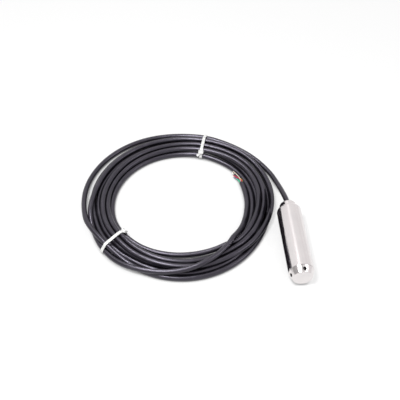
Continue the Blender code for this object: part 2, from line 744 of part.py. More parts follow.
def tie_loop(name, angle):
    """A tie's band: a flat outline round the coil's section, as thick as the tie, drawn out to its width."""
    curve = bpy.data.curves.new(name, "CURVE")
    curve.dimensions = "2D"
    curve.fill_mode = "BOTH"
    curve.extrude = TIE_WIDTH / 2
    for grow in (TIE_CLEARANCE + TIE_THICKNESS, TIE_CLEARANCE):
        outline = coil_section(angle, grow, 3 * COIL_SIDES)
        spline = curve.splines.new("POLY")
        spline.points.add(len(outline) - 1)
        for point, (radius, height) in zip(spline.points, outline):
            point.co = (radius, height, 0.0, 1.0)
        spline.use_cyclic_u = True
    made = bpy.data.objects.new(name, curve)
    cutters.objects.link(made)
    bpy.context.view_layer.update()
    graph = bpy.context.evaluated_depsgraph_get()
    mesh = bpy.data.meshes.new_from_object(made.evaluated_get(graph))
    bpy.data.objects.remove(made, do_unlink=True)
    shape = bmesh.new()
    shape.from_mesh(mesh)
    bmesh.ops.remove_doubles(shape, verts=shape.verts, dist=0.00001)
    bmesh.ops.recalc_face_normals(shape, faces=shape.faces)
    shape.to_mesh(mesh)
    shape.free()
    mesh.name = name
    mesh.materials.clear()
    return mesh


def build_ties():
    """The two ties, each a band round the coil with its head, and its cut end, on the coil's inner side."""
    for name, angle in TIE_ANGLES.items():
        band = add(name, tie_loop(name, angle), white_plastic)
        outwards = Vector((math.cos(angle), math.sin(angle), 0))
        upright = Vector((0, 0, 1))
        across = outwards.cross(upright)
        turn = Matrix((outwards, upright, across)).transposed().to_4x4()
        turn.translation = Vector((COIL_CENTRE.x, COIL_CENTRE.y, 0))
        band.matrix_world = turn
        inner = coil_at(angle)[1] - TIE_CLEARANCE
        low = tie_lift(angle) + TIE_HEAD_HEIGHT / 2
        head = box_mesh(f"{name}_head", TIE_HEAD_DEPTH, TIE_HEAD_HEIGHT, TIE_HEAD_WIDTH)
        head_spot = turn @ Matrix.Translation((inner - TIE_HEAD_DEPTH / 2 - EDGE, low, 0))
        cut(band, cutter(f"{name}_head", head, head_spot), "UNION")
        tail = box_mesh(f"{name}_tail", TIE_TAIL_LENGTH, TIE_THICKNESS, TIE_TAIL_WIDTH)
        tail_spot = (inner - TIE_HEAD_DEPTH - TIE_TAIL_LENGTH / 2 + EDGE, low + TIE_THICKNESS / 3, 0)
        cut(band, cutter(f"{name}_tail", tail, turn @ Matrix.Translation(tail_spot)), "UNION")


clear_scene()
probe = make_collection("submersible_level_transmitter")
cutters = make_collection("cutters")
cutters.hide_render = True

steel = material("stainless_steel", (0.80, 0.79, 0.78), 1.0, 0.22)
steel_bright = material("stainless_steel_inner", (0.74, 0.74, 0.74), 1.0, 0.3)
gold = material("gold_plate", (0.83, 0.62, 0.26), 1.0, 0.3)
rubber = material("seal_rubber", (0.025, 0.025, 0.027), 0.0, 0.7)
white_plastic = material("white_plastic", (0.86, 0.86, 0.85), 0.0, 0.45)
black_plastic = material("black_plastic", (0.03, 0.03, 0.032), 0.0, 0.5)
green_board = material("circuit_board_laminate", (0.03, 0.20, 0.08), 0.0, 0.45)
tan_ceramic = material("tan_ceramic", (0.52, 0.38, 0.22), 0.0, 0.5)
sheath = material("cable_sheath", (0.022, 0.021, 0.026), 0.0, 0.42)
core_looks = {name: material(name, colour, 0.0, 0.4) for name, colour in CORE_COLOURS.items()}

build_housing_tube()
build_nose_cap()
build_sensor()
build_sensor_holder()
build_electronics()
build_gland()
build_cable()
build_stripped_end()
build_ties()
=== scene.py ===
# %% [markdown]
# This lesson dresses a submersible level transmitter: a stainless steel pressure probe the size of a
# small torch, hung in a tank or well on its own vented cable. Here the probe lies on a white table
# beside its cable, which is coiled in eight turns and held by two nylon ties. The construction comes
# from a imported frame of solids. The lesson gives them their finish, replaces the coarse outer solids
# with smooth ones, and lays the cable turn by turn.

import math

import bmesh
import bpy
import numpy as np
from mathutils import Matrix, Vector


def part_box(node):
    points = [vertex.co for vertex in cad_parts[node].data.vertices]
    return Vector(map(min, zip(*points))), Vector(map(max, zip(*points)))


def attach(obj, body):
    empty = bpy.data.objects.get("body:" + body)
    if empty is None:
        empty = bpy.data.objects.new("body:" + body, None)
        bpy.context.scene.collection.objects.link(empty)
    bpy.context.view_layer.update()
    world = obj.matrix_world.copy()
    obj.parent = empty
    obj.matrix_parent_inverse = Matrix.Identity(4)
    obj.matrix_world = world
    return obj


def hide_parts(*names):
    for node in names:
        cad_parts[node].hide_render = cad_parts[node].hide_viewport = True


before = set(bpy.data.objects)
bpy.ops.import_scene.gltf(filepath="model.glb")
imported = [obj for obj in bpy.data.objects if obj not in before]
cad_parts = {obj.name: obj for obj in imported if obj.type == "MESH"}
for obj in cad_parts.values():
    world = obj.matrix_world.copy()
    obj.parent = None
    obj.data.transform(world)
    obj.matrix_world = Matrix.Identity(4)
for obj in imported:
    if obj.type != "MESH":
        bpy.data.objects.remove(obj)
bpy.context.scene.view_settings.view_transform = "Standard"
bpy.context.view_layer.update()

# %% [markdown]
# The camera comes first, because everything is judged through it. The photograph looks down at the
# table from about 48 degrees, a little from the left, and from close by, so the lines of the probe run
# together slightly. The eye, the point looked at and the angle of view were fitted to the probe's
# edges.

# %% Camera
EYE = Vector((-0.14217, -0.48702, 0.63167))
LOOKED_AT = Vector((-0.1004, 0.0802, 0.0))
ANGLE_OF_VIEW = math.radians(31.56)

camera = bpy.data.objects.new("camera", bpy.data.cameras.new("camera"))
bpy.context.scene.collection.objects.link(camera)
camera.data.angle = ANGLE_OF_VIEW
camera.data.clip_start = 0.01
camera.location = EYE
camera.rotation_euler = (LOOKED_AT - EYE).to_track_quat("-Z", "Y").to_euler()
bpy.context.scene.camera = camera
print("camera distance:", round((LOOKED_AT - EYE).length, 3))

# %% [markdown]
# A material is easier to read as maths than as a web of wires. A Wire wraps one socket, and the usual
# signs make Math nodes of it, so that 1 - mask is one node. Nodes wraps a tree, and its node method
# adds any other node: its settings first, and then what goes into it. A Finish is the tree of one
# material.

# %% Shader helpers
MM = 0.001


class Wire:
    """One output socket, so that shader maths can be written with plain signs."""

    def __init__(self, nodes, socket):
        self.nodes = nodes
        self.socket = socket

    def maths(self, operation, *values):
        return self.nodes.node("ShaderNodeMath", {"operation": operation}, dict(enumerate(values)))

    def __add__(self, other):
        return self.maths("ADD", self, other)

    def __sub__(self, other):
        return self.maths("SUBTRACT", self, other)

    def __rsub__(self, other):
        return self.maths("SUBTRACT", other, self)

    def __mul__(self, other):
        return self.maths("MULTIPLY", self, other)

    __radd__ = __add__
    __rmul__ = __mul__

    def sine(self):
        return self.maths("SINE", self)

    def root(self):
        return self.maths("SQRT", self)

    def span(self, low, high, to_low=0.0, to_high=1.0):
        """This value with low to high stretched to another span, and held at its ends."""
        places = {"Value": self, 1: low, 2: high, 3: to_low, 4: to_high}
        return self.nodes.node("ShaderNodeMapRange", {"clamp": True}, places)


class Nodes:
    """A node tree that is built up by plain calls."""

    def __init__(self, tree):
        self.tree = tree

    def feed(self, node, inputs):
        for key, value in inputs.items():
            socket = node.inputs[key]
            if isinstance(value, Wire):
                self.tree.links.new(value.socket, socket)
            elif socket.type == "RGBA" and len(value) == 3:
                socket.default_value = (*value, 1.0)
            else:
                socket.default_value = value

    def node(self, kind, settings=None, inputs=None, output=0):
        """A new node: its settings come first, then its inputs, and one of its outputs comes back."""
        made = self.tree.nodes.new(kind)
        for name, value in (settings or {}).items():
            setattr(made, name, value)
        self.feed(made, inputs or {})
        return Wire(self, made.outputs[output])

    def mix(self, one, two, share):
        """A colour between two others."""
        return self.node("ShaderNodeMix", {"data_type": "RGBA"}, {0: share, 6: one, 7: two}, output=2)

    def noise(self, spot, size, detail=2.0, roughness=0.5):
        """Soft noise from 0 to 1 with patches of about the given size."""
        inputs = {"Vector": spot, "Scale": 1 / size, "Detail": detail, "Roughness": roughness}
        return self.node("ShaderNodeTexNoise", inputs=inputs)

    def axis(self, spot, letter):
        return self.node("ShaderNodeSeparateXYZ", inputs={0: spot}, output=letter)

    def seen_directly(self):
        """1 for what the camera, a mirror or clear material shows, and 0 for light that spreads."""
        kinds = ("Camera", "Glossy", "Transmission")
        rays = [self.node("ShaderNodeLightPath", output=f"Is {kind} Ray") for kind in kinds]
        return (rays[0] + rays[1] + rays[2]).span(0.0, 1.0)


class Finish(Nodes):
    """One procedural material, built round a Principled shader."""

    def __init__(self, name, **constants):
        self.material = bpy.data.materials.new(name)
        self.material.use_nodes = True
        super().__init__(self.material.node_tree)
        self.shader = self.tree.nodes["Principled BSDF"]
        self.set(**constants)

    def set(self, **inputs):
        self.feed(self.shader, {name.replace("_", " "): value for name, value in inputs.items()})
        return self.material

    def place(self, shift=(0, 0, 0)):
        """Object coordinates in metres, shifted."""
        spot = self.node("ShaderNodeTexCoord", output="Object")
        return self.node("ShaderNodeMapping", inputs={"Vector": spot, "Location": shift})

    def lines(self, distance, size, detail=2.0):
        """Uneven lines: noise that changes only with one distance."""
        inputs = {"W": distance, "Scale": 1 / size, "Detail": detail, "Roughness": 0.6}
        return self.node("ShaderNodeTexNoise", {"noise_dimensions": "1D"}, inputs)

    def bump(self, height, depth, strength=1.0):
        """Bumps of the given depth in metres, fed to the shader's normal."""
        inputs = {"Height": height, "Distance": depth, "Strength": strength}
        self.set(Normal=self.node("ShaderNodeBump", inputs=inputs))


print("shader helpers ready")

# %% [markdown]
# The set is a white table under wide, soft lamps. A white background must not come from more light on
# the probe, so the table adds a glow of its own for the camera and for mirror reflections only. That
# glow dims close to whatever lies on the table, which paints a thin contact shadow where the nose and
# the cable touch it. Bright steel only looks like steel when it has something to mirror. So in mirror
# reflections alone the white room has a paler strip behind the probe and two darker bands across its
# middle, and one more lamp shows.

# %% Table and light
TABLE_SIZE = 6.0
TABLE_GLOW = 0.58
TABLE_COLOUR = (0.42, 0.42, 0.42)
CONTACT_SHADOW_REACH = 6 * MM
CONTACT_SHADOW_DIMS = (0.20, 0.75)
ROOM_LEVEL = 0.55
ROOM_TINT = (0.86, 0.82, 0.83)
FOLD_SIZE = 1 / 6
TINTED_FOLDS = (0.60, 0.40)
SHADED_FOLDS = (0.35, 0.60, 0.5, 1.0)
# The pale strip lies round one direction: the two numbers are the cosines at its soft edge.
STRIP_SIDE = (-0.13, 0.60, 0.79)
STRIP_EDGE = (0.975, 0.9985)
STRIP_GLOW = 0.20
# From left to right a band starts to darken, is dark, starts to pale and ends. From front to back it
# fades between two squared distances from its middle.
DARK_BANDS = ((-1.1, -1.0, -0.64, -0.50), (-0.10, -0.03, 0.14, 0.24))
BAND_MIDDLE = -0.12
BAND_FADE = (0.05, 0.12)
BAND_SHADE = 0.62
# Each lamp's place, size, power, and whether it lights everything or only shows in mirror reflections.
LAMPS = {
    "overhead_softbox": ((-0.46, -0.20, 1.15), 0.34, 9.0, True),
    "sheen_softbox": ((-0.40, 0.40, 1.18), 0.34, 6.0, False),
    "right_softbox": ((0.8, -0.2, 0.9), 0.4, 2.0, True),
}
LAMPS_AIM = Vector((-0.08, 0.05, 0.0))


def new_primitive(kind, name=None, scale=(1, 1, 1), **settings):
    """A primitive by itself, with its place, turn and size made part of its mesh."""
    bpy.ops.object.select_all(action="DESELECT")
    getattr(bpy.ops.mesh, f"primitive_{kind}_add")(**settings)
    piece = bpy.context.object
    piece.name = name or piece.name
    piece.scale = scale
    bpy.ops.object.transform_apply()
    return piece


def only_mirrored(thing):
    """Show a studio thing in mirror reflections and nowhere else, so that it throws no shadow."""
    thing.visible_glossy = True
    for kind in ("camera", "diffuse", "transmission", "shadow", "volume_scatter"):
        setattr(thing, f"visible_{kind}", False)


table = new_primitive("plane", "table", size=TABLE_SIZE)
table_white = Finish("table_white", Roughness=0.9, Specular_IOR_Level=0.0, Base_Color=TABLE_COLOUR)
# The glow fades by ambient occlusion near what lies on the table: a painted contact shadow.
contact_shadow_ao = table_white.node(
    "ShaderNodeAmbientOcclusion", {"samples": 12}, {"Distance": CONTACT_SHADOW_REACH}, output="AO",
)
glow = table_white.seen_directly() * contact_shadow_ao.span(*CONTACT_SHADOW_DIMS) * TABLE_GLOW
table.data.materials.append(table_white.set(Emission_Color=(1.0, 1.0, 1.0), Emission_Strength=glow))

room = bpy.data.worlds.new("studio")
room.use_nodes = True
bpy.context.scene.world = room
room_nodes = Nodes(room.node_tree)
direction = room_nodes.node("ShaderNodeTexCoord", output="Generated")
mirrored = room_nodes.node("ShaderNodeLightPath", output="Is Glossy Ray")
folds = room_nodes.noise(direction, FOLD_SIZE)
tint = room_nodes.mix((1, 1, 1), ROOM_TINT, folds.span(*TINTED_FOLDS) * mirrored)
to_strip = room_nodes.node(
    "ShaderNodeVectorMath", {"operation": "DOT_PRODUCT"}, {0: direction, 1: STRIP_SIDE}, output="Value",
)
to_right = room_nodes.axis(direction, "X")
off_middle = room_nodes.axis(direction, "Y") - BAND_MIDDLE
in_middle = 1 - (off_middle * off_middle).span(*BAND_FADE)
bands = [
    to_right.span(rise, full) * (1 - to_right.span(fall, end)) for rise, full, fall, end in DARK_BANDS
]
uneven = (bands[0] + bands[1]) * folds.span(*SHADED_FOLDS) * in_middle * BAND_SHADE
reflected = 1 + to_strip.span(*STRIP_EDGE) * STRIP_GLOW - uneven
level = room_nodes.seen_directly() * (1 - ROOM_LEVEL) + ROOM_LEVEL
room_light = {"Color": tint, "Strength": level * (1 + mirrored * (reflected - 1))}
room_nodes.feed(room.node_tree.nodes["Background"], room_light)

for name, (spot, size, power, lights_all) in LAMPS.items():
    lamp = bpy.data.objects.new(name, bpy.data.lights.new(name, "AREA"))
    lamp.data.shape = "DISK"
    lamp.data.size = size
    lamp.data.energy = power
    lamp.location = spot
    lamp.rotation_euler = (LAMPS_AIM - Vector(spot)).to_track_quat("-Z", "Y").to_euler()
    bpy.context.scene.collection.objects.link(lamp)
    if not lights_all:
        only_mirrored(lamp)
print("lamps:", ", ".join(LAMPS))

# %% [markdown]
# A black card stands along the left of the probe and shows in mirror reflections only. So the steel
# mirrors it as painted shade: it stands in for the shadowed table beside the probe, where a
# photographer might also set a card to draw the edge. Its foot is folded flat along the table, under
# the side of the probe, as painted shadow under the probe's side. Its upper edge rises towards the
# back, because the dark strip in the photograph widens there.

# %% Black card
CARD_LEFT = -0.021
CARD_FOOT = -0.011
CARD_FOOT_HEIGHT = 0.0005
# The upper edge from the front to the back: places along the probe, and heights.
CARD_EDGE = ((-0.036, 0.0160), (0.052, 0.0240), (0.060, 0.040), (0.084, 0.040))

# A dark sheet seen only in the steel: painted shade of the table beside and under the probe.
mirrored_shade_card = new_primitive(
    "grid", "mirrored_shade_card", x_subdivisions=2, y_subdivisions=len(CARD_EDGE) - 1, size=1.0,
)
for corner in mirrored_shade_card.data.vertices:
    place, top = CARD_EDGE[round((corner.co.y + 0.5) * (len(CARD_EDGE) - 1))]
    fold = round(corner.co.x * 2)
    corner.co = (CARD_LEFT if fold < 1 else CARD_FOOT, place, top if fold < 0 else CARD_FOOT_HEIGHT)
shade_card_black = Finish("shade_card_black", Roughness=1.0, Specular_IOR_Level=0.0, Base_Color=(0.030, 0.027, 0.036))
mirrored_shade_card.data.materials.append(shade_card_black.material)
only_mirrored(mirrored_shade_card)
print("card from", CARD_EDGE[0][0], "to", CARD_EDGE[-1][0])

# %% [markdown]
# The cable is a real length of rubbery hose with wires and a breather tube in it, 6.2 mm thick. It
# leaves the gland level with the probe's axis, sinks to the table, and goes round in eight turns before
# its free end. A cable could be drawn as one hand-placed curve, but eight turns that rest on each other
# are a matter of weight and contact. So each turn gets a rough lane round the coil, and a small loop
# then lets all of them settle: stiffness evens a turn out, weight pulls it down, and turns that touch
# push each other apart.

# %% The cable's sizes and route
CABLE_DIAMETER = 6.2 * MM
COIL_CENTRE = Vector((-0.125, 0.074))
COIL_START = 24.6
COIL_END = 343.9
TURNS = 8
ANGLE_STEP = 2.5
LEAD_POINTS = (
    (0.0, 0.0319, 0.0140),
    (0.0, 0.0448, 0.0140),
    (0.0, 0.0525, 0.0140),
    (-0.0002, 0.0615, 0.0133),
    (-0.0012, 0.0714, 0.0110),
    (-0.0026, 0.0820, 0.0082),
    (-0.0044, 0.0927, 0.0056),
    (-0.0068, 0.1030, 0.0038),
    (-0.0100, 0.1130, 0.0032),
)
TAIL_POINTS = (
    (-0.0458, 0.0630, 0.0035),
    (-0.0448, 0.0748, 0.0032),
    (-0.0457, 0.0896, 0.0032),
    (-0.0477, 0.1014, 0.0032),
)
# Each turn's lane: its radius in mm at ten angles, and how many layers above the table it lies there.
LANE_ANGLES = (25, 70, 115, 160, 205, 250, 272, 290, 312, 340)
LANES = (
    ((120.2, 114.3, 119.8, 118.0, 104.3, 107.5, 111.6, 111.0, 107.6, 103.4),
     (0, 0, 0, 0, 1, 0, 0, 0, 0, 0)),
    ((107.2, 108.1, 110.0, 105.5, 101.0, 99.5, 104.8, 104.7, 101.3, 97.1),
     (0, 0, 0, 0, 0, 0, 0, 0, 0, 0)),
    ((100.9, 102.0, 100.0, 99.3, 94.4, 93.0, 98.4, 98.3, 95.0, 90.8),
     (0, 0, 0, 0, 0, 0, 0, 0, 0, 0)),
    ((94.7, 93.8, 88.4, 92.1, 87.8, 86.0, 88.0, 89.0, 87.6, 84.6),
     (0, 0, 0, 0, 0, 0, 0, 0, 0, 0)),
    ((88.6, 83.4, 81.1, 80.9, 81.3, 76.8, 76.6, 78.0, 91.5, 91.5),
     (0, 0, 0, 0, 0, 0, 0, 0, 1.1, 1)),
    ((97.8, 89.4, 85.2, 86.9, 84.5, 88.0, 90.5, 91.5, 97.5, 97.5),
     (1, 1, 1, 0.6, 1, 1, 0.8, 0.6, 1, 1)),
    ((104.0, 97.0, 92.4, 87.9, 91.0, 94.8, 97.5, 99.0, 104.0, 105.4),
     (1, 1, 1, 1, 1, 1, 1, 1, 1, 1)),
    ((113.6, 105.0, 106.0, 98.7, 107.5, 107.7, 107.0, 97.5, 85.0, 80.0),
     (0, 1, 1, 1, 0, 1.0, 1.6, 1.8, 0.9, 0.1)),
)

TIE_ANGLES = {"tie_upper": 69.3, "tie_lower": 215.6}
TIE_LIFT = 1.4 * MM
TIE_REACH = 4.5


def tie_lift(angles):
    """How far the turns stand off the table at these angles, because a tie passes under them."""
    lift = np.zeros_like(angles)
    for tie in TIE_ANGLES.values():
        away = np.abs((angles - tie + 180) % 360 - 180)
        lift = np.maximum(lift, np.exp(-(np.maximum(0, away - TIE_REACH) / TIE_REACH) ** 2))
    return TIE_LIFT * lift


print("lanes:", len(LANES), "each at", len(LANE_ANGLES), "angles")

# %% [markdown]
# Settling works on one long row of places, each with a radius from the coil's middle and a height.
# Folded at each full turn, the row becomes a table in which a column holds the turns that pass the same
# angle: there they are simply discs, and two discs must lie a diameter apart. Both ends of the row are
# held, because the lead and the tail join them there.

# %% Settle the turns
ROUNDS = 500
FIRST_PLACE = (120.3 * MM, 3.2 * MM)
LAST_PLACE = (80.3 * MM, 4.4 * MM)
LAYER_RISE = 0.87
STIFFNESS = 0.25
WEIGHT = 0.02 * MM
LANE_PULL = 0.02
LAYER_PULL = 0.01
CABLE_ROOM = 1.01 * CABLE_DIAMETER


def evened(values, width=9):
    """The row with each value replaced by the mean of those round it."""
    padded = np.pad(values, width // 2, mode="edge")
    return np.convolve(padded, np.ones(width) / width, mode="valid")


def push_apart(radius, height, slant):
    """Move any two turns in a column apart until they lie a diameter from each other."""
    for upper in range(1, TURNS):
        for lower in range(upper):
            sideways = (radius[upper] - radius[lower]) * (slant[upper] + slant[lower]) / 2
            upwards = height[upper] - height[lower]
            apart = np.hypot(sideways, upwards)
            short = np.nan_to_num(np.maximum(0, CABLE_ROOM - apart) / (2 * apart))
            sideways_push = np.nan_to_num(short * sideways)
            upwards_push = np.nan_to_num(short * upwards)
            radius[upper] += sideways_push
            radius[lower] -= sideways_push
            height[upper] += upwards_push
            height[lower] -= upwards_push


def folded(row, columns):
    """A row as a table with one turn in each line, filled up with blanks."""
    table_of_turns = np.full(TURNS * columns, np.nan)
    table_of_turns[:len(row)] = row
    return table_of_turns.reshape(TURNS, columns)


def settle_coil():
    """Angles, radii and heights down the middle of the cable, all round the coil."""
    columns = int(360 / ANGLE_STEP)
    last = COIL_END + 360 * (TURNS - 1)
    angles = COIL_START + ANGLE_STEP * np.arange(int((last - COIL_START) / ANGLE_STEP) + 1)
    marks = [mark + 360 * turn for turn in range(TURNS) for mark in LANE_ANGLES]
    aim = np.interp(angles, marks, [radius * MM for lane, _ in LANES for radius in lane])
    layer = np.interp(angles, marks, [level for _, levels in LANES for level in levels])
    aim = evened(evened(aim))
    floor = CABLE_DIAMETER / 2 + tie_lift(angles)
    aim_height = floor + evened(evened(layer)) * LAYER_RISE * CABLE_DIAMETER
    radius = aim.copy()
    height = aim_height.copy()
    for _ in range(ROUNDS):
        radius += LANE_PULL * (aim - radius)
        height += LAYER_PULL * (aim_height - height) - WEIGHT
        for row in (radius, height, radius, height, height):
            row[1:-1] += STIFFNESS * (row[:-2] + row[2:] - 2 * row[1:-1])
        height = np.maximum(height, floor)
        slope = np.gradient(radius) / (radius * math.radians(ANGLE_STEP))
        table_radius = folded(radius, columns)
        table_height = folded(height, columns)
        slant = folded(1 / np.hypot(1, slope), columns)
        for _ in range(2):
            push_apart(table_radius, table_height, slant)
        radius = table_radius.reshape(-1)[:len(angles)]
        height = np.maximum(table_height.reshape(-1)[:len(angles)], floor)
        radius[0], height[0] = FIRST_PLACE
        radius[-1], height[-1] = LAST_PLACE
    return angles, radius, height


coil_angles, coil_radii, coil_heights = settle_coil()
print("coil:", len(coil_angles), "places, highest", round(float(coil_heights.max()) * 1000, 1), "mm")

# %% [markdown]
# The three stretches now become one line with even spacing. The lead and the tail follow listed points,
# with a smooth curve through them, and the coil's places follow on from them.

# %% One line from gland to free end
POINT_SPACING = 4.5 * MM
FINE_STEPS = 16


def smooth_path(points, spacing):
    """A smooth curve through the points, read off at an even spacing."""
    points = [np.array(point) for point in points]
    ends = [2 * points[0] - points[1]] + points + [2 * points[-1] - points[-2]]
    fine = []
    for before, here, there, after in zip(ends, ends[1:], ends[2:], ends[3:]):
        for t in np.linspace(0, 1, FINE_STEPS, endpoint=False):
            fine.append(0.5 * (
                2 * here + (there - before) * t
                + (2 * before - 5 * here + 4 * there - after) * t * t
                + (3 * here - before - 3 * there + after) * t ** 3
            ))
    fine = np.array(fine + [points[-1]])
    travelled = np.concatenate([[0], np.cumsum(np.linalg.norm(np.diff(fine, axis=0), axis=1))])
    count = max(4, round(travelled[-1] / spacing)) + 1
    stops = np.linspace(0, travelled[-1], count)
    return np.stack([np.interp(stops, travelled, fine[:, axis]) for axis in range(3)], axis=1)


def coil_line():
    turns = np.radians(coil_angles)
    across = COIL_CENTRE.x + coil_radii * np.cos(turns)
    onwards = COIL_CENTRE.y + coil_radii * np.sin(turns)
    return np.stack([across, onwards, coil_heights], axis=1)


cable_line = smooth_path([*LEAD_POINTS, *coil_line(), *TAIL_POINTS], POINT_SPACING)
steps = np.linalg.norm(np.diff(cable_line, axis=0), axis=1)
print("cable:", len(cable_line), "points,", round(float(steps.sum()), 3), "m")

# %% [markdown]
# The sheath is a black rubbery plastic with a satin shine. Up close it has a fine grain from the
# extruder and faint lighter scuffs where turns have rubbed. The grain is only a bump, and the scuffs
# change colour and roughness together.

# %% Cable sheath
SHEATH_SIDES = 6
SHEATH_BLACK = (0.004, 0.0035, 0.0055)
SHEATH_SCUFF = (0.040, 0.037, 0.046)


def sheath_material():
    finish = Finish("cable_sheath_satin_black", Specular_IOR_Level=0.80, Specular_Tint=(0.88, 0.83, 1.0))
    spot = finish.place()
    grain = finish.noise(spot, 0.35 * MM, detail=3.0)
    wear = finish.noise(spot, 14 * MM, detail=4.0, roughness=0.6).span(0.50, 0.75)
    scuffs = wear * grain.span(0.35, 0.7)
    finish.bump(grain, 0.006 * MM, 0.4)
    return finish.set(
        Base_Color=finish.mix(SHEATH_BLACK, SHEATH_SCUFF, scuffs),
        Roughness=0.27 + scuffs * 0.2 + grain * 0.06,
    )


def wire_object(name, lines, diameter, look, sides=SHEATH_SIDES):
    """Round wires or a cable, one along each line of points, with 4 * (sides + 1) faces round each."""
    curve = bpy.data.curves.new(name, "CURVE")
    curve.dimensions = "3D"
    curve.bevel_depth = diameter / 2
    curve.bevel_resolution = sides
    curve.use_fill_caps = True
    for line in lines:
        spline = curve.splines.new("POLY")
        spline.points.add(len(line) - 1)
        spline.points.foreach_set("co", np.hstack([line, np.ones((len(line), 1))]).ravel())
        spline.use_smooth = True
    curve.materials.append(look)
    made = bpy.data.objects.new(name, curve)
    bpy.context.scene.collection.objects.link(made)
    return made


sheath = sheath_material()
cable = wire_object("cable", [cable_line], CABLE_DIAMETER, sheath)
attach(cable, "probe")
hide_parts("cable_lead", "cable_coil", "cable_tail")
print("cable faces round it:", 4 * (SHEATH_SIDES + 1))

# %% [markdown]
# New pieces are shaped in edit mode, as by hand. An operator works on all that is selected, so a few
# helpers open one piece, pick its vertices or faces by their place and direction, break its sharp edges,
# and close it again with its faces turned outwards.

# %% Working in edit mode
def edit(piece):
    """Open one piece in edit mode, with nothing else selected."""
    bpy.ops.object.select_all(action="DESELECT")
    piece.select_set(True)
    bpy.context.view_layer.objects.active = piece
    bpy.ops.object.mode_set(mode="EDIT")
    bpy.ops.mesh.select_mode(type="VERT")


def pick(part, test):
    """Select the vertices or faces of the open mesh whose middle and normal pass the test."""
    bpy.ops.mesh.select_all(action="DESELECT")
    bpy.ops.mesh.select_mode(type={"verts": "VERT", "faces": "FACE"}[part])
    shape = bmesh.from_edit_mesh(bpy.context.edit_object.data)
    for element in getattr(shape, part):
        middle = element.calc_center_median() if part == "faces" else element.co
        element.select_set(test(middle, element.normal))
    shape.select_flush_mode()
    bmesh.update_edit_mesh(bpy.context.edit_object.data)


def break_edges(sharpness, size, segments):
    """Bevel the edges of the open mesh that are sharper than an angle."""
    bpy.ops.mesh.select_all(action="DESELECT")
    bpy.ops.mesh.select_mode(type="EDGE")
    bpy.ops.mesh.edges_select_sharp(sharpness=sharpness)
    bpy.ops.mesh.bevel(offset=size, segments=segments, affect="EDGES")


def close_edit(smooth_angle=35):
    """Point the faces outwards, leave edit mode and smooth all but real edges."""
    bpy.ops.mesh.select_all(action="SELECT")
    bpy.ops.mesh.normals_make_consistent(inside=False)
    bpy.ops.object.mode_set(mode="OBJECT")
    bpy.ops.object.shade_smooth_by_angle(angle=math.radians(smooth_angle))


def apply_modifier(piece, kind, **settings):
    """Add a modifier to a piece, set it, and make it part of the mesh."""
    bpy.context.view_layer.objects.active = piece
    modifier = piece.modifiers.new(kind.lower(), kind)
    for name, value in settings.items():
        setattr(modifier, name, value)
    bpy.ops.object.modifier_apply(modifier=modifier.name)


def cut_away(piece, cutter):
    """Take a cutter's shape out of a piece, and throw the cutter away."""
    apply_modifier(piece, "BOOLEAN", operation="DIFFERENCE", solver="EXACT", object=cutter)
    bpy.data.objects.remove(cutter)


print("edit helpers ready")

# %% [markdown]
# The steel pieces are turned on a lathe, and the script turns them too. A ring primitive stands where a
# tool would first touch, and is then drawn along the piece's profile by extruding it and resizing it
# about the probe's axis. A Screw modifier on a drawn outline would give the same shape. The ring way
# keeps the edge loops at hand, so that real edges can be picked by their sharpness and broken with a
# small bevel.

# %% Turning on the lathe
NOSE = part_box("nose_cap")[0].y
AXIS_HEIGHT = (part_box("housing_tube")[0].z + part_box("housing_tube")[1].z) / 2
RING_SIDES = 128
REAL_EDGE = math.radians(24)


def on_axis(along):
    """The point on the probe's axis at a distance in millimetres from its nose."""
    return Vector((0.0, NOSE + along * MM, AXIS_HEIGHT))


def turned(name, profile, sides=RING_SIDES, solid=False, broken_edge=0.25):
    """A piece turned to a profile of (millimetres from the nose, radius) points. A solid one is capped,
    and any other profile runs round the section of a ring and meets its own start."""
    along, radius = profile[0]
    piece = new_primitive(
        "circle", name, vertices=sides, radius=radius * MM, location=on_axis(along),
        rotation=(math.pi / 2, 0, 0),
    )
    edit(piece)
    bpy.ops.mesh.select_all(action="SELECT")
    for next_along, next_radius in profile[1:] + ([] if solid else profile[:1]):
        step = {"value": (0, (next_along - along) * MM, 0)}
        bpy.ops.mesh.extrude_region_move(TRANSFORM_OT_translate=step)
        if next_radius != radius:
            growth = next_radius / radius
            centre = on_axis(next_along)
            bpy.ops.transform.resize(value=(growth, 1, growth), center_override=centre)
        along, radius = next_along, next_radius
    bpy.ops.mesh.select_all(action="SELECT")
    bpy.ops.mesh.remove_doubles(threshold=0.001 * MM)
    if solid:
        bpy.ops.mesh.fill_holes(sides=0)
        pick("faces", lambda middle, normal: (middle - on_axis(along)).xz.length < 0.01 * MM)
        bpy.ops.mesh.poke()
    bpy.ops.mesh.select_all(action="SELECT")
    bpy.ops.mesh.normals_make_consistent(inside=False)
    if broken_edge:
        break_edges(REAL_EDGE, broken_edge * MM, 3)
    close_edit()
    return piece


def finish_piece(piece, look, body, *nodes):
    """Give a piece its finish, even out its shading, tie it to its body and hide the solids that it
    replaces.
    """
    apply_modifier(piece, "WEIGHTED_NORMAL", keep_sharp=True)
    piece.data.materials.clear()
    piece.data.materials.append(look)
    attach(piece, body)
    if nodes:
        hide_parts(*nodes)
    print(piece.name, "rides on", body)


print("nose at", round(NOSE, 4), "axis at", round(AXIS_HEIGHT, 4))

# %% [markdown]
# The probe is bright stainless steel, fine-turned and lightly polished. Turning leaves uneven
# hairlines: on the tube they run round it, so they change only along the axis, and on a flat face they
# are circles, so they change only with the distance from the axis. The sum of both kinds serves every
# turned surface at once. Handling leaves faint cloudy patches, and these change only how sharply the
# steel mirrors the room. Drilled holes and the chamber behind them are left rough from the tool, and
# get a near-black steel colour that paints the shade inside them.

# %% Steel
STEEL = (0.79, 0.755, 0.75)
STEEL_DULL = (0.70, 0.67, 0.675)


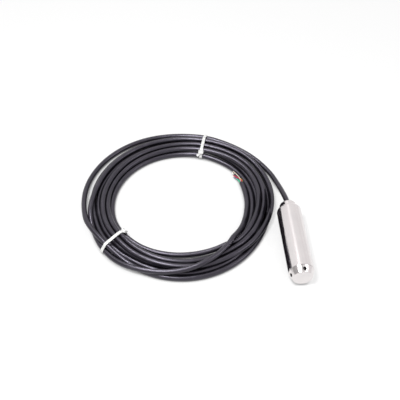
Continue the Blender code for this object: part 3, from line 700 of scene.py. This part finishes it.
def steel_material(name, roughness, colour, dull_colour, mark_depth):
    finish = Finish(name, Metallic=1.0)
    spot = finish.place(shift=(0, 0, -AXIS_HEIGHT))
    across, along, above = (finish.axis(spot, letter) for letter in "XYZ")
    from_axis = (across * across + above * above).root()
    hairlines = finish.lines(along, 0.35 * MM, 3.0) + finish.lines(from_axis, 0.30 * MM, 3.0)
    clouds = finish.noise(spot, 16 * MM, detail=3.0).span(0.35, 0.75)
    finish.bump(hairlines, mark_depth * MM, 0.35)
    return finish.set(
        Base_Color=finish.mix(colour, dull_colour, clouds * hairlines.span(0.6, 1.4, 0.2, 0.8)),
        Roughness=roughness + clouds * 0.05 + hairlines * 0.04,
    )


bright_steel = steel_material("stainless_steel_fine_turned", 0.13, STEEL, STEEL_DULL, 0.002)
plain_steel = steel_material(
    "stainless_steel_as_turned", 0.20, (0.70, 0.69, 0.69), (0.52, 0.51, 0.52), 0.006,
)
# Near-black steel for the faces inside the holes and the chamber: painted shade, darker than rough steel
# is.
bore_shade_steel = steel_material(
    "stainless_steel_bore_painted_shade", 0.50, (0.05, 0.048, 0.05), (0.03, 0.029, 0.03), 0.010,
)
print("steel finishes:", bright_steel.name, plain_steel.name, bore_shade_steel.name)

# %% [markdown]
# The housing tube carries everything. It is bored from the front for the sensor, with a step for the
# electronics behind it, and its rear end is closed by a wall that the gland screws into. Its rear
# shoulder is a generous round, made with one wide bevel before the other edges are broken.

# %% Housing tube
BODY = 14.0
TUBE_FRONT = 8.5
TUBE_REAR = 97.0
SHOULDER = 3.0
FRONT_BORE = 12.0
MIDDLE_BORE = 11.2
BORE_STEP = 36.1
BORE_END = 83.4
GLAND_SEAT = 86.4
PASSAGE = 3.5
GLAND_BORE = 7.0


def build_housing_tube():
    shoulder = [
        (TUBE_REAR - SHOULDER * (1 - math.sin(turn)), BODY - SHOULDER * (1 - math.cos(turn)))
        for turn in np.radians(np.linspace(0, 90, 10))
    ]
    tube = turned("housing_tube_steel", [
        (TUBE_FRONT, FRONT_BORE),
        (TUBE_FRONT, BODY),
        *shoulder,
        (TUBE_REAR, GLAND_BORE),
        (GLAND_SEAT, GLAND_BORE),
        (GLAND_SEAT, PASSAGE),
        (BORE_END, PASSAGE),
        (BORE_END, MIDDLE_BORE),
        (BORE_STEP, MIDDLE_BORE),
        (BORE_STEP, FRONT_BORE),
    ])
    finish_piece(tube, bright_steel, "probe", "housing_tube")
    return tube


housing_tube = build_housing_tube()
print("tube faces:", len(housing_tube.data.polygons))

# %% [markdown]
# The nose cap guards the diaphragm. Four slanted holes through its long chamfer let the liquid reach
# the chamber, in such a way that nothing pointed can touch the diaphragm. Each hole is drilled square to
# the chamfer and its mouth is lightly countersunk, so its cutter is a cylinder whose outer end is drawn
# out wider.

# %% Drill for the pressure holes
CAP_LENGTH = 8.2
CAP_FACE = 10.9
CAP_SLOPE = (BODY - CAP_FACE) / CAP_LENGTH
HOLE_RADIUS = 2.1
HOLE_MOUTH = 3.8
HOLE_FLARE = 0.14
HOLE_DEPTH = 5.5


def hole_cutter(turn):
    """A drill for one pressure hole, square to the chamfer, with a countersink at its outer end."""
    outwards = Vector((math.sin(turn), 0, math.cos(turn)))
    inwards = (Vector((0, CAP_SLOPE, 0)) - outwards).normalized()
    mouth = on_axis(HOLE_MOUTH) + outwards * (CAP_FACE + CAP_SLOPE * HOLE_MOUTH) * MM
    outer_end = mouth + inwards * HOLE_FLARE * MM
    middle = outer_end + inwards * HOLE_DEPTH * MM / 2
    drill = new_primitive(
        "cylinder", vertices=48, radius=HOLE_RADIUS * MM, depth=HOLE_DEPTH * MM, location=middle,
        rotation=inwards.to_track_quat("Z", "Y").to_euler(),
    )
    edit(drill)
    pick("faces", lambda middle, normal: normal.dot(inwards) < -0.9)
    run_out = 4 * HOLE_FLARE
    bpy.ops.mesh.extrude_region_move(TRANSFORM_OT_translate={"value": -inwards * run_out * MM})
    growth = (HOLE_RADIUS + run_out) / HOLE_RADIUS
    bpy.ops.transform.resize(value=(growth,) * 3, center_override=outer_end - inwards * run_out * MM)
    close_edit()
    return drill


print("drill:", 2 * HOLE_RADIUS, "mm, its mouth", 2 * (HOLE_RADIUS + HOLE_FLARE), "mm")

# %% [markdown]
# The cap itself is a turned cup. Its chamfer begins right at its joint, its flat end face has a rounded
# rim, and a spigot behind it screws into the tube. Inside the holes and the chamber the steel is left
# rough, and the faces that lie deeper than a thin skin get the near-black steel as painted shade.

# %% Nose cap
CAP_RIM = 1.3
CAP_END_WALL = 2.2
HOLLOW_CHAMFER = 1.7
CHAMBER = 9.6
SPIGOT = 11.7
SPIGOT_END = 14.2
HOLE_COUNT = 4
HOLE_TURN = math.radians(8)
BORE_SKIN = 0.3


def build_nose_cap():
    first = math.atan(CAP_SLOPE)
    rim_middle = CAP_FACE + CAP_SLOPE * CAP_RIM - CAP_RIM / math.cos(first)
    rim = [
        (CAP_RIM * (1 - math.sin(turn)), rim_middle + CAP_RIM * math.cos(turn))
        for turn in np.linspace(first, math.pi / 2, 7)
    ]
    cap = turned("nose_cap_steel", [
        (CAP_END_WALL, CHAMBER - HOLLOW_CHAMFER),
        (CAP_END_WALL + HOLLOW_CHAMFER, CHAMBER),
        (SPIGOT_END, CHAMBER),
        (SPIGOT_END, SPIGOT),
        (CAP_LENGTH, SPIGOT),
        (CAP_LENGTH, BODY),
        *rim,
    ], solid=True)
    for number in range(HOLE_COUNT):
        cut_away(cap, hole_cutter(HOLE_TURN + number * 2 * math.pi / HOLE_COUNT))
    edit(cap)
    close_edit(30)
    finish_piece(cap, bright_steel, "nose_cap", "nose_cap")
    # Faces deeper than the skin get the near-black steel: painted shade inside the holes and the chamber.
    cap.data.materials.append(bore_shade_steel)
    for face in cap.data.polygons:
        along = (face.center.y - NOSE) / MM
        depth = CAP_FACE + CAP_SLOPE * along - (face.center - on_axis(along)).length / MM
        behind_face = BORE_SKIN < along < CAP_LENGTH + BORE_SKIN
        face.material_index = int(behind_face and depth > BORE_SKIN)
    return cap


nose_cap = build_nose_cap()
print("cap faces:", len(nose_cap.data.polygons))

# %% [markdown]
# The spigot's fine thread only shows when the cap is unscrewed. A thread is one ridge wound round the
# spigot: a three-sided ring primitive is its section, and a Screw modifier about the probe's axis winds
# it.

# %% Spigot thread
THREAD_PITCH = 0.9
THREAD_TURNS = 4
THREAD_STEPS = 96
THREAD_START = 9.6
THREAD_SECTION = 0.34
THREAD_RADIUS = SPIGOT + 0.06


def build_thread():
    start = on_axis(THREAD_START) + Vector((0, 0, THREAD_RADIUS * MM))
    thread = new_primitive(
        "circle", "spigot_thread", vertices=3, radius=THREAD_SECTION * MM, location=start,
        rotation=(math.pi / 2, 0, math.pi / 2),
    )
    bpy.context.scene.cursor.location = on_axis(THREAD_START)
    bpy.ops.object.origin_set(type="ORIGIN_CURSOR")
    steps = THREAD_STEPS * THREAD_TURNS
    apply_modifier(
        thread, "SCREW", axis="Y", angle=2 * math.pi * THREAD_TURNS, steps=steps, render_steps=steps,
        screw_offset=THREAD_PITCH * MM * THREAD_TURNS, use_merge_vertices=False,
    )
    bpy.ops.object.transform_apply()
    edit(thread)
    bpy.ops.mesh.select_all(action="SELECT")
    bpy.ops.mesh.fill_holes(sides=0)
    close_edit(50)
    finish_piece(thread, bright_steel, "nose_cap")
    return thread


thread = build_thread()
print("thread faces:", len(thread.data.polygons))

# %% [markdown]
# The gland nut is the narrower neck behind the tube. It screws in and squeezes a rubber sleeve round
# the cable. Its rear rim is chamfered, and the cable leaves through its middle.

# %% Gland nut
NUT_START = 94.1
NECK_START = 97.3
NECK_END = 105.0
NECK = 9.5
NECK_CHAMFER = 1.1
SHANK = 6.7
CABLE_HOLE = 3.4


def build_gland_nut():
    nut = turned("gland_nut_steel", [
        (NUT_START, CABLE_HOLE),
        (NUT_START, SHANK),
        (NECK_START, SHANK),
        (NECK_START, NECK),
        (NECK_END - NECK_CHAMFER, NECK),
        (NECK_END, NECK - NECK_CHAMFER),
        (NECK_END, CABLE_HOLE),
    ])
    finish_piece(nut, bright_steel, "probe", "gland_nut")
    return nut


gland_nut = build_gland_nut()
print("nut faces:", len(gland_nut.data.polygons))

# %% [markdown]
# Behind the cap sits the sensor: a steel capsule closed by a thin rippled diaphragm. It shows through
# the open front when the cap is off, so it is turned with fine rings as well. The ripples are a cosine
# of the radius.

# %% Sensor behind the cap
SENSOR = 9.5
SENSOR_START = 18.0
SENSOR_END = 29.0
SENSOR_RIM = 1.0
SENSOR_RECESS = 0.97
GROOVE = (21.9, 25.1, 7.9)
DIAPHRAGM = 8.2
DIAPHRAGM_FRONT = 18.3
DIAPHRAGM_THICK = 0.25
RIPPLE_COUNT = 3
RIPPLE_DEPTH = 0.12


def build_sensor():
    first, last, groove = GROOVE
    capsule = turned("sensor_capsule_steel", [
        (SENSOR_START + SENSOR_RECESS, SENSOR - SENSOR_RIM),
        (SENSOR_START, SENSOR - SENSOR_RIM),
        (SENSOR_START, SENSOR),
        (first, SENSOR),
        (first, groove),
        (last, groove),
        (last, SENSOR),
        (SENSOR_END, SENSOR),
    ], solid=True, broken_edge=0.15)
    finish_piece(capsule, plain_steel, "probe", "sensor_capsule")
    radii = np.linspace(0.4, DIAPHRAGM, 34)
    waves = RIPPLE_DEPTH * (1 - np.cos(2 * math.pi * RIPPLE_COUNT * radii / DIAPHRAGM)) / 2
    face = [(DIAPHRAGM_FRONT + float(wave), float(radius)) for radius, wave in zip(radii, waves)]
    back = [(along + DIAPHRAGM_THICK, radius) for along, radius in face]
    diaphragm = turned("sensor_diaphragm_steel", face + back[::-1], sides=96, solid=True, broken_edge=0)
    finish_piece(diaphragm, bright_steel, "probe", "sensor_diaphragm")


build_sensor()

# %% [markdown]
# The capsule sits in a holder ring and is kept there by a lock ring, whose slot takes a flat driver.
# The slot is cut by a long thin block that crosses the whole ring. Both pieces are left as they came
# from the lathe.

# %% Sensor holder and lock ring
HOLDER = (15.6, 29.3, 35.8)
HOLDER_OUTER = 11.7
HOLDER_POCKET = 9.8
HOLDER_HOLE = 8.0
HOLDER_GROOVE = (31.35, 33.75, 9.6)
LOCK_RING = (15.9, 17.7, 8.4, 9.5)
LOCK_SLOT = 1.2


def build_holder():
    front, floor, rear = HOLDER
    first, last, groove = HOLDER_GROOVE
    holder = turned("sensor_holder_steel", [
        (front, HOLDER_POCKET),
        (front, HOLDER_OUTER),
        (first, HOLDER_OUTER),
        (first, groove),
        (last, groove),
        (last, HOLDER_OUTER),
        (rear, HOLDER_OUTER),
        (rear, HOLDER_HOLE),
        (floor, HOLDER_HOLE),
        (floor, HOLDER_POCKET),
    ], broken_edge=0.15)
    finish_piece(holder, plain_steel, "probe", "sensor_holder")


def ring(name, start, end, inner, outer, **choices):
    return turned(name, [(start, inner), (start, outer), (end, outer), (end, inner)], **choices)


def build_lock_ring():
    lock = ring("sensor_lock_ring_steel", *LOCK_RING, broken_edge=0.15)
    slot_size = (4 * SENSOR * MM, LOCK_SLOT * MM, LOCK_SLOT * MM)
    cut_away(lock, new_primitive("cube", size=1, location=on_axis(LOCK_RING[0]), scale=slot_size))
    finish_piece(lock, plain_steel, "probe", "sensor_lock_ring")


build_holder()
build_lock_ring()

# %% [markdown]
# The rubber parts are moulded, matt and nearly black, with a faint bloom of talc. The nylon of the ties
# is milky and lets a little light in, so it gets some subsurface scattering, and its surface has the
# soft waves that a mould leaves.

# %% Rubber, nylon and moulded plastic
SEAL_RING = (14.5, 15.3, 9.8, 11.7)


def rubber_material():
    finish = Finish("seal_rubber_talc", Specular_IOR_Level=0.35)
    spot = finish.place()
    bloom = finish.noise(spot, 2.5 * MM, detail=4.0).span(0.45, 0.8)
    finish.bump(finish.noise(spot, 0.2 * MM, detail=3.0), 0.02 * MM, 0.6)
    return finish.set(
        Base_Color=finish.mix((0.022, 0.022, 0.024), (0.07, 0.07, 0.07), bloom),
        Roughness=0.62 + bloom * 0.2,
    )


def nylon_material():
    finish = Finish("tie_nylon_milky", Specular_IOR_Level=0.5)
    finish.set(Subsurface_Weight=0.1, Subsurface_Scale=0.4 * MM, Subsurface_Radius=(1.0, 1.0, 1.0))
    spot = finish.place()
    soft = finish.noise(spot, 3 * MM, detail=2.0)
    fine = finish.noise(spot, 0.4 * MM, detail=2.0)
    finish.bump(soft + fine * 0.2, 0.03 * MM, 0.5)
    return finish.set(
        Base_Color=finish.mix((0.88, 0.88, 0.87), (0.80, 0.80, 0.785), soft.span(0.4, 0.8)),
        Roughness=0.34 + fine * 0.14,
    )


def plastic_material(name, colour, pale, roughness=0.4):
    finish = Finish(name, Specular_IOR_Level=0.5)
    spot = finish.place()
    cloud = finish.noise(spot, 1.6 * MM, detail=3.0)
    finish.bump(finish.noise(spot, 0.15 * MM, detail=2.0), 0.01 * MM, 0.5)
    return finish.set(
        Base_Color=finish.mix(colour, pale, cloud.span(0.45, 0.75)),
        Roughness=roughness + cloud * 0.12,
    )


rubber = rubber_material()
nylon = nylon_material()
black_plastic = plastic_material(
    "moulded_plastic_black", (0.028, 0.028, 0.030), (0.050, 0.050, 0.052), 0.45,
)
seal_ring = ring("nose_seal_ring_rubber", *SEAL_RING, broken_edge=0.15)
finish_piece(seal_ring, rubber, "probe", "nose_seal_ring")

# %% [markdown]
# At the free end five thin cores and a breather tube come out of the sheath. They lie close together,
# and turn along the inner side of the coil. Each core leaves its place in the sheath and bends its own
# way, so three points give it its line, and the places are measured from the sheath's cut end.

# %% Lines of the cores
CORE_CIRCLE = 3.6 * MM
CORE_SPREAD = 1.1
CORE_BEND_REACH = 0.35
CORE_BEND_RISE = 0.4
CORE_START = 0.3 * MM
CORE_SPACING = 0.5 * MM
# Each core's far end in mm from the end of the sheath: sideways, onwards and up.
CORE_ENDS = {
    "core_red": (-5.9, 14.6, 0.2),
    "core_yellow": (-0.8, 9.8, 0.2),
    "core_black": (-5.0, 16.8, 0.6),
    "core_blue": (-5.8, 13.0, -1.6),
    "core_green": (-3.1, 8.0, -0.6),
}
VENT_BEND = (-1.0, 9.0, 2.0)
VENT_END = (-5.0, 20.0, 1.8)

sheath_end = Vector(cable_line[-1])
onwards = (sheath_end - Vector(cable_line[-2])).normalized()
sideways = onwards.cross(Vector((0, 0, 1))).normalized()
upwards = sideways.cross(onwards)


def beyond_sheath(side, on, up):
    """A place beyond the sheath's cut end, in metres sideways, onwards and up."""
    return sheath_end + sideways * side + onwards * on + upwards * up


def core_line(number, reach):
    turn = 2 * math.pi * number / len(CORE_ENDS)
    side, up = CORE_CIRCLE / 2 * math.sin(turn), CORE_CIRCLE / 2 * math.cos(turn)
    far = [value * MM for value in reach]
    rise = (far[2] - up) * CORE_BEND_RISE
    bend = beyond_sheath(side * CORE_SPREAD, far[1] * CORE_BEND_REACH, up + rise)
    return smooth_path([beyond_sheath(side, CORE_START, up), bend, beyond_sheath(*far)], CORE_SPACING)


vent_stops = [[value * MM for value in stop] for stop in (VENT_BEND, VENT_END)]
vent_line = smooth_path([
    beyond_sheath(0, CORE_START, 0), *[beyond_sheath(*stop) for stop in vent_stops],
], CORE_SPACING)
print("cores:", len(CORE_ENDS), "and a vent line of", len(vent_line), "points")

# %% [markdown]
# The sheath is cut square round a grey filler, and the breather tube is cream. Each core's end is
# stripped: a short bundle of tinned copper strands, slightly splayed, stands out of the coloured
# insulation. All of them are wires of the same kind as the cable, only thinner.

# %% The stripped end
VENT_DIAMETER = 1.2 * MM
CORE_DIAMETER = 1.5 * MM
FILLER_DIAMETER = 5.0 * MM
FILLER_ENDS = (-0.4 * MM, 0.12 * MM)
STRAND_COUNT = 5
STRAND_DIAMETER = 0.24 * MM
STRAND_SIDES = 2
STRAND_LENGTH = 2.6 * MM
STRAND_SPLAY = 0.5
CORE_COLOURS = {
    "core_black": ((0.02, 0.02, 0.022), (0.04, 0.04, 0.042)),
    "core_yellow": ((0.72, 0.54, 0.04), (0.80, 0.62, 0.10)),
    "core_red": ((0.52, 0.010, 0.06), (0.64, 0.03, 0.12)),
    "core_blue": ((0.20, 0.25, 0.36), (0.28, 0.33, 0.45)),
    "core_green": ((0.015, 0.55, 0.28), (0.03, 0.64, 0.36)),
}


def strand_lines(line):
    """Short lines that go on from a core's end and part a little."""
    end = Vector(line[-1])
    ahead = (end - Vector(line[-3])).normalized()
    aside = ahead.cross(upwards).normalized()
    above = aside.cross(ahead)
    lines = []
    for strand in range(STRAND_COUNT):
        turn = 2 * math.pi * strand / STRAND_COUNT
        off = (aside * math.cos(turn) + above * math.sin(turn)) * STRAND_DIAMETER
        tip = end + off + ahead * STRAND_LENGTH + off * STRAND_SPLAY
        lines.append([end + off - ahead * STRAND_DIAMETER, tip])
    return lines


def cloudy_metal(name, colour, cloud_colour, cloud_size, cloud_edge, roughness):
    """A small metal part whose second colour shows in soft patches."""
    finish = Finish(name, Metallic=1.0)
    cloud = finish.noise(finish.place(), cloud_size, detail=3.0)
    return finish.set(
        Base_Color=finish.mix(colour, cloud_colour, cloud.span(cloud_edge, 0.8)),
        Roughness=roughness + cloud * 0.15,
    )


tinned_copper = cloudy_metal(
    "tinned_copper_strands", (0.78, 0.74, 0.68), (0.72, 0.50, 0.34), 0.5 * MM, 0.5, 0.28,
)
filler_grey = plastic_material("cable_filler_grey", (0.30, 0.29, 0.28), (0.40, 0.39, 0.38), 0.5)
filler_line = [beyond_sheath(0, on, 0) for on in FILLER_ENDS]
wires = [wire_object("cable_filler", [filler_line], FILLER_DIAMETER, filler_grey)]
for number, (name, reach) in enumerate(CORE_ENDS.items()):
    look = plastic_material(f"{name}_insulation", *CORE_COLOURS[name], roughness=0.32)
    line = core_line(number, reach)
    wire = wire_object(f"{name}_wire", [line], CORE_DIAMETER, look)
    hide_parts(name)
    strands = wire_object(
        f"{name}_strands", strand_lines(line), STRAND_DIAMETER, tinned_copper, sides=STRAND_SIDES,
    )
    wires += [wire, strands]
vent_cream = plastic_material("vent_tube_cream", (0.70, 0.62, 0.50), (0.78, 0.71, 0.60))
vent = wire_object("vent_tube_wire", [vent_line], VENT_DIAMETER, vent_cream)
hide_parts("vent_tube")
wires.append(vent)
for wire in wires:
    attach(wire, "probe")
print("wires at the free end:", len(wires))

# %% [markdown]
# A cable tie is pulled tight, so its strap takes the shortest way round the turns that it holds:
# exactly their convex hull. So the strap isn't drawn at all. A short stub stands round each turn at the
# tie's place, the hull of all the stubs is taken, its two flat ends are removed, and the band that
# stays gets the strap's thickness. Each tie was pulled a little askew, which moves its place on each
# turn.

# %% Tie strap
TIE_MIDDLE = 98 * MM
TIE_WIDTH = 3.6 * MM
TIE_THICKNESS = 0.9 * MM
TIE_SLACK = 0.15 * MM
STRAP_EDGE = 0.12 * MM


def strands_at(angle, tilt):
    """Where a tie that stands a little askew crosses each turn, with the innermost turn first."""
    turn = math.radians(angle)
    spots = []
    for mark in (angle + 360 * number for number in range(TURNS)):
        if coil_angles[0] <= mark <= coil_angles[-1]:
            radius = float(np.interp(mark, coil_angles, coil_radii))
            aside = (radius - TIE_MIDDLE) * math.tan(tilt) / radius
            place = mark + math.degrees(aside)
            radius = float(np.interp(place, coil_angles, coil_radii))
            height = float(np.interp(place, coil_angles, coil_heights))
            across = Vector((math.cos(turn + aside), math.sin(turn + aside), 0)) * radius
            spots.append((radius, COIL_CENTRE.to_3d() + across + Vector((0, 0, height))))
    return [spot for _, spot in sorted(spots, key=lambda pair: pair[0])]


def joined(pieces):
    """All the pieces as one mesh, which is the last of them."""
    bpy.ops.object.select_all(action="DESELECT")
    for piece in pieces:
        piece.select_set(True)
    bpy.context.view_layer.objects.active = pieces[-1]
    bpy.ops.object.join()
    return pieces[-1]


def strap_band(spots, turn):
    """The strap: the hull of a stub round each turn, without its flat ends, thickened outwards."""
    lengthways = Vector((-math.sin(turn), math.cos(turn), 0))
    stubs = [new_primitive(
        "cylinder", vertices=48, radius=CABLE_DIAMETER / 2 + TIE_SLACK, depth=TIE_WIDTH, location=spot,
        rotation=(math.pi / 2, 0, turn),
    ) for spot in spots]
    band = joined(stubs)
    edit(band)
    bpy.ops.mesh.select_all(action="SELECT")
    bpy.ops.mesh.convex_hull()
    pick("faces", lambda middle, normal: abs(normal.dot(lengthways)) > 0.9)
    bpy.ops.mesh.delete(type="FACE")
    close_edit(60)
    apply_modifier(band, "SOLIDIFY", thickness=TIE_THICKNESS, offset=1.0)
    edit(band)
    break_edges(math.radians(60), STRAP_EDGE, 2)
    close_edit(40)
    return band


print("strap:", round(TIE_WIDTH / MM, 1), "by", round(TIE_THICKNESS / MM, 1), "mm")

# %% [markdown]
# The head is a small block with a window, which is an inset of its outer face pushed inwards. The cut
# tail of the strap stands out of it. The tail starts as a grid, so that every second row of faces can
# be sunk between the ratchet teeth.

# %% Tie head and tail
HEAD_SIZE = (3.0 * MM, 6.2 * MM, 5.2 * MM)
HEAD_ROUND = 0.6 * MM
WINDOW_FRAME = 0.35 * MM
WINDOW_DEPTH = 0.9 * MM
TAIL_WIDTH = 3.0 * MM
TAIL_TEETH = 14
TOOTH_DEPTH = 0.3 * MM
TAIL_POINT = 0.45


def turned_to(right, forward, up):
    """The rotation that lays a new piece's own axes along three directions."""
    return Matrix((right, forward, up)).transposed().to_euler()


def tie_head(middle, inwards, lengthways, along):
    """The head, flat against the strap, with a window for the tail in its outer face."""
    head = new_primitive(
        "cube", size=1, location=middle, rotation=turned_to(inwards, lengthways, along), scale=HEAD_SIZE,
    )
    edit(head)
    bpy.ops.mesh.select_all(action="SELECT")
    bpy.ops.mesh.bevel(offset=HEAD_ROUND, segments=4, affect="EDGES")
    pick("faces", lambda spot, normal: normal.dot(inwards) < -0.99 and (spot - middle).dot(inwards) < 0)
    bpy.ops.mesh.inset(thickness=WINDOW_FRAME)
    bpy.ops.mesh.extrude_region_move(TRANSFORM_OT_translate={"value": inwards * WINDOW_DEPTH})
    close_edit(40)
    return head


def tie_tail(start, back, up, length):
    """The cut end of the strap: a strip with ratchet teeth on its upper side, cut to a point."""
    middle = start - back * length / 2
    aside = up.cross(back)
    tail = new_primitive(
        "grid", x_subdivisions=2 * TAIL_TEETH, y_subdivisions=4, size=1, location=middle,
        rotation=turned_to(back, aside, up), scale=(length, TAIL_WIDTH, 1),
    )
    apply_modifier(tail, "SOLIDIFY", thickness=TIE_THICKNESS, offset=0.0)
    edit(tail)
    step = length / (2 * TAIL_TEETH)

    def in_tooth_gap(spot, normal):
        place = (spot - middle).dot(back) + length / 2
        across = (spot - middle).dot(aside)
        return normal.dot(up) > 0.9 and int(place / step) % 2 == 0 and abs(across) < TAIL_WIDTH / 4

    pick("faces", in_tooth_gap)
    bpy.ops.transform.translate(value=-up * TOOTH_DEPTH)
    pick("verts", lambda spot, normal: (spot - middle).dot(back) < 0.2 * MM - length / 2)
    bpy.ops.transform.resize(value=(TAIL_POINT,) * 3, center_override=middle - back * length / 2)
    close_edit(30)
    return tail


print("tail teeth:", TAIL_TEETH)

# %% [markdown]
# A whole tie is the strap with its head on the coil's inner shoulder, where it lies flat on two turns,
# and with its tail. The three are joined, because they are one piece of nylon.

# %% Ties
TIE_TILTS = {"tie_upper": math.radians(6), "tie_lower": math.radians(7)}
TIE_TAILS = {"tie_upper": 7.0 * MM, "tie_lower": 1.2 * MM}
HEAD_SINK = 0.3 * MM
TAIL_TURN = math.radians(38)


def build_tie(name, angle, tilt, tail_length):
    """One tie. Its head lies on the inner turn and on the turn that stands steepest above that one."""
    turn = math.radians(angle) + tilt
    spots = strands_at(angle, tilt)
    band = strap_band(spots, turn)
    inner = spots[0]
    lengthways = Vector((-math.sin(turn), math.cos(turn), 0))
    shoulder = max(spots[1:], key=lambda spot: (spot - inner).normalized().z)
    along = (shoulder - inner).normalized()
    lengthways = (lengthways - along * lengthways.dot(along)).normalized()
    outside = along.cross(lengthways)
    off = CABLE_DIAMETER / 2 + TIE_SLACK + TIE_THICKNESS + HEAD_SIZE[0] / 2 - HEAD_SINK
    middle = (inner + shoulder) / 2 + outside * off
    head = tie_head(middle, -outside, lengthways, along)
    back = along * math.cos(TAIL_TURN) - lengthways * math.sin(TAIL_TURN)
    tail = tie_tail(middle, back, outside, tail_length)
    tie = joined([head, tail, band])
    tie.name = f"{name}_nylon"
    finish_piece(tie, nylon, "probe", name)
    return tie


ties = [build_tie(name, angle, TIE_TILTS[name], TIE_TAILS[name]) for name, angle in TIE_ANGLES.items()]
print("ties:", len(ties))

# %% [markdown]
# Now all that is on the cable exists. The cable runs out of the gland, through all eight turns and the
# tail, five metres to the bare end.

print("pieces on the cable:", len(wires) + len(ties))

# %% [markdown]
# The pieces that stay as the frame made them are deep inside the probe. They still get true finishes:
# gold on the header pins, a green board with its weave, tan ceramic, black mouldings and rubber.

# %% Finishes inside the probe
WEAVE = 0.5 * MM


def board_material():
    finish = Finish("circuit_board_green", Specular_IOR_Level=0.5, Coat_Weight=0.3)
    spot = finish.place()
    weave, weft = ((finish.axis(spot, letter) * (2 * math.pi / WEAVE)).sine() for letter in "XY")
    tracks = finish.lines(finish.axis(spot, "X"), 1.1 * MM, 0.0).span(0.52, 0.56)
    finish.bump(weave * weft, 0.01 * MM, 0.4)
    return finish.set(
        Base_Color=finish.mix((0.02, 0.16, 0.06), (0.05, 0.28, 0.12), tracks),
        Roughness=0.36 + weave * weft * 0.05,
    )


board_green = board_material()
gold = cloudy_metal("gold_plate_pins", (0.86, 0.64, 0.27), (0.70, 0.49, 0.19), 0.6 * MM, 0.4, 0.22)
tan_ceramic = plastic_material("ceramic_tan", (0.50, 0.36, 0.21), (0.60, 0.45, 0.28), 0.5)
INNER_FINISHES = [
    (black_plastic, ("amplifier_chip", "regulator_chip", "board_carrier_front", "board_carrier_rear")),
    (tan_ceramic, ("capacitor_1", "capacitor_2", "surge_arrester")),
    (board_green, ("circuit_board",)),
    (rubber, ("gland_seal", "holder_o_ring", "sensor_o_ring")),
    (plain_steel, ("gland_washer",)),
    (nylon, ("sensor_backup_ring",)),
    (gold, [f"{kind}_{number}" for kind in ("header_pin", "sensor_lead") for number in range(1, 6)]),
    *[(bpy.data.materials[f"{name}_insulation"], (f"inner_{name}",)) for name in CORE_COLOURS],
]
for look, names in INNER_FINISHES:
    for name in names:
        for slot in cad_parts[name].material_slots:
            slot.material = look
print("inner nodes finished:", sum(len(names) for _, names in INNER_FINISHES))
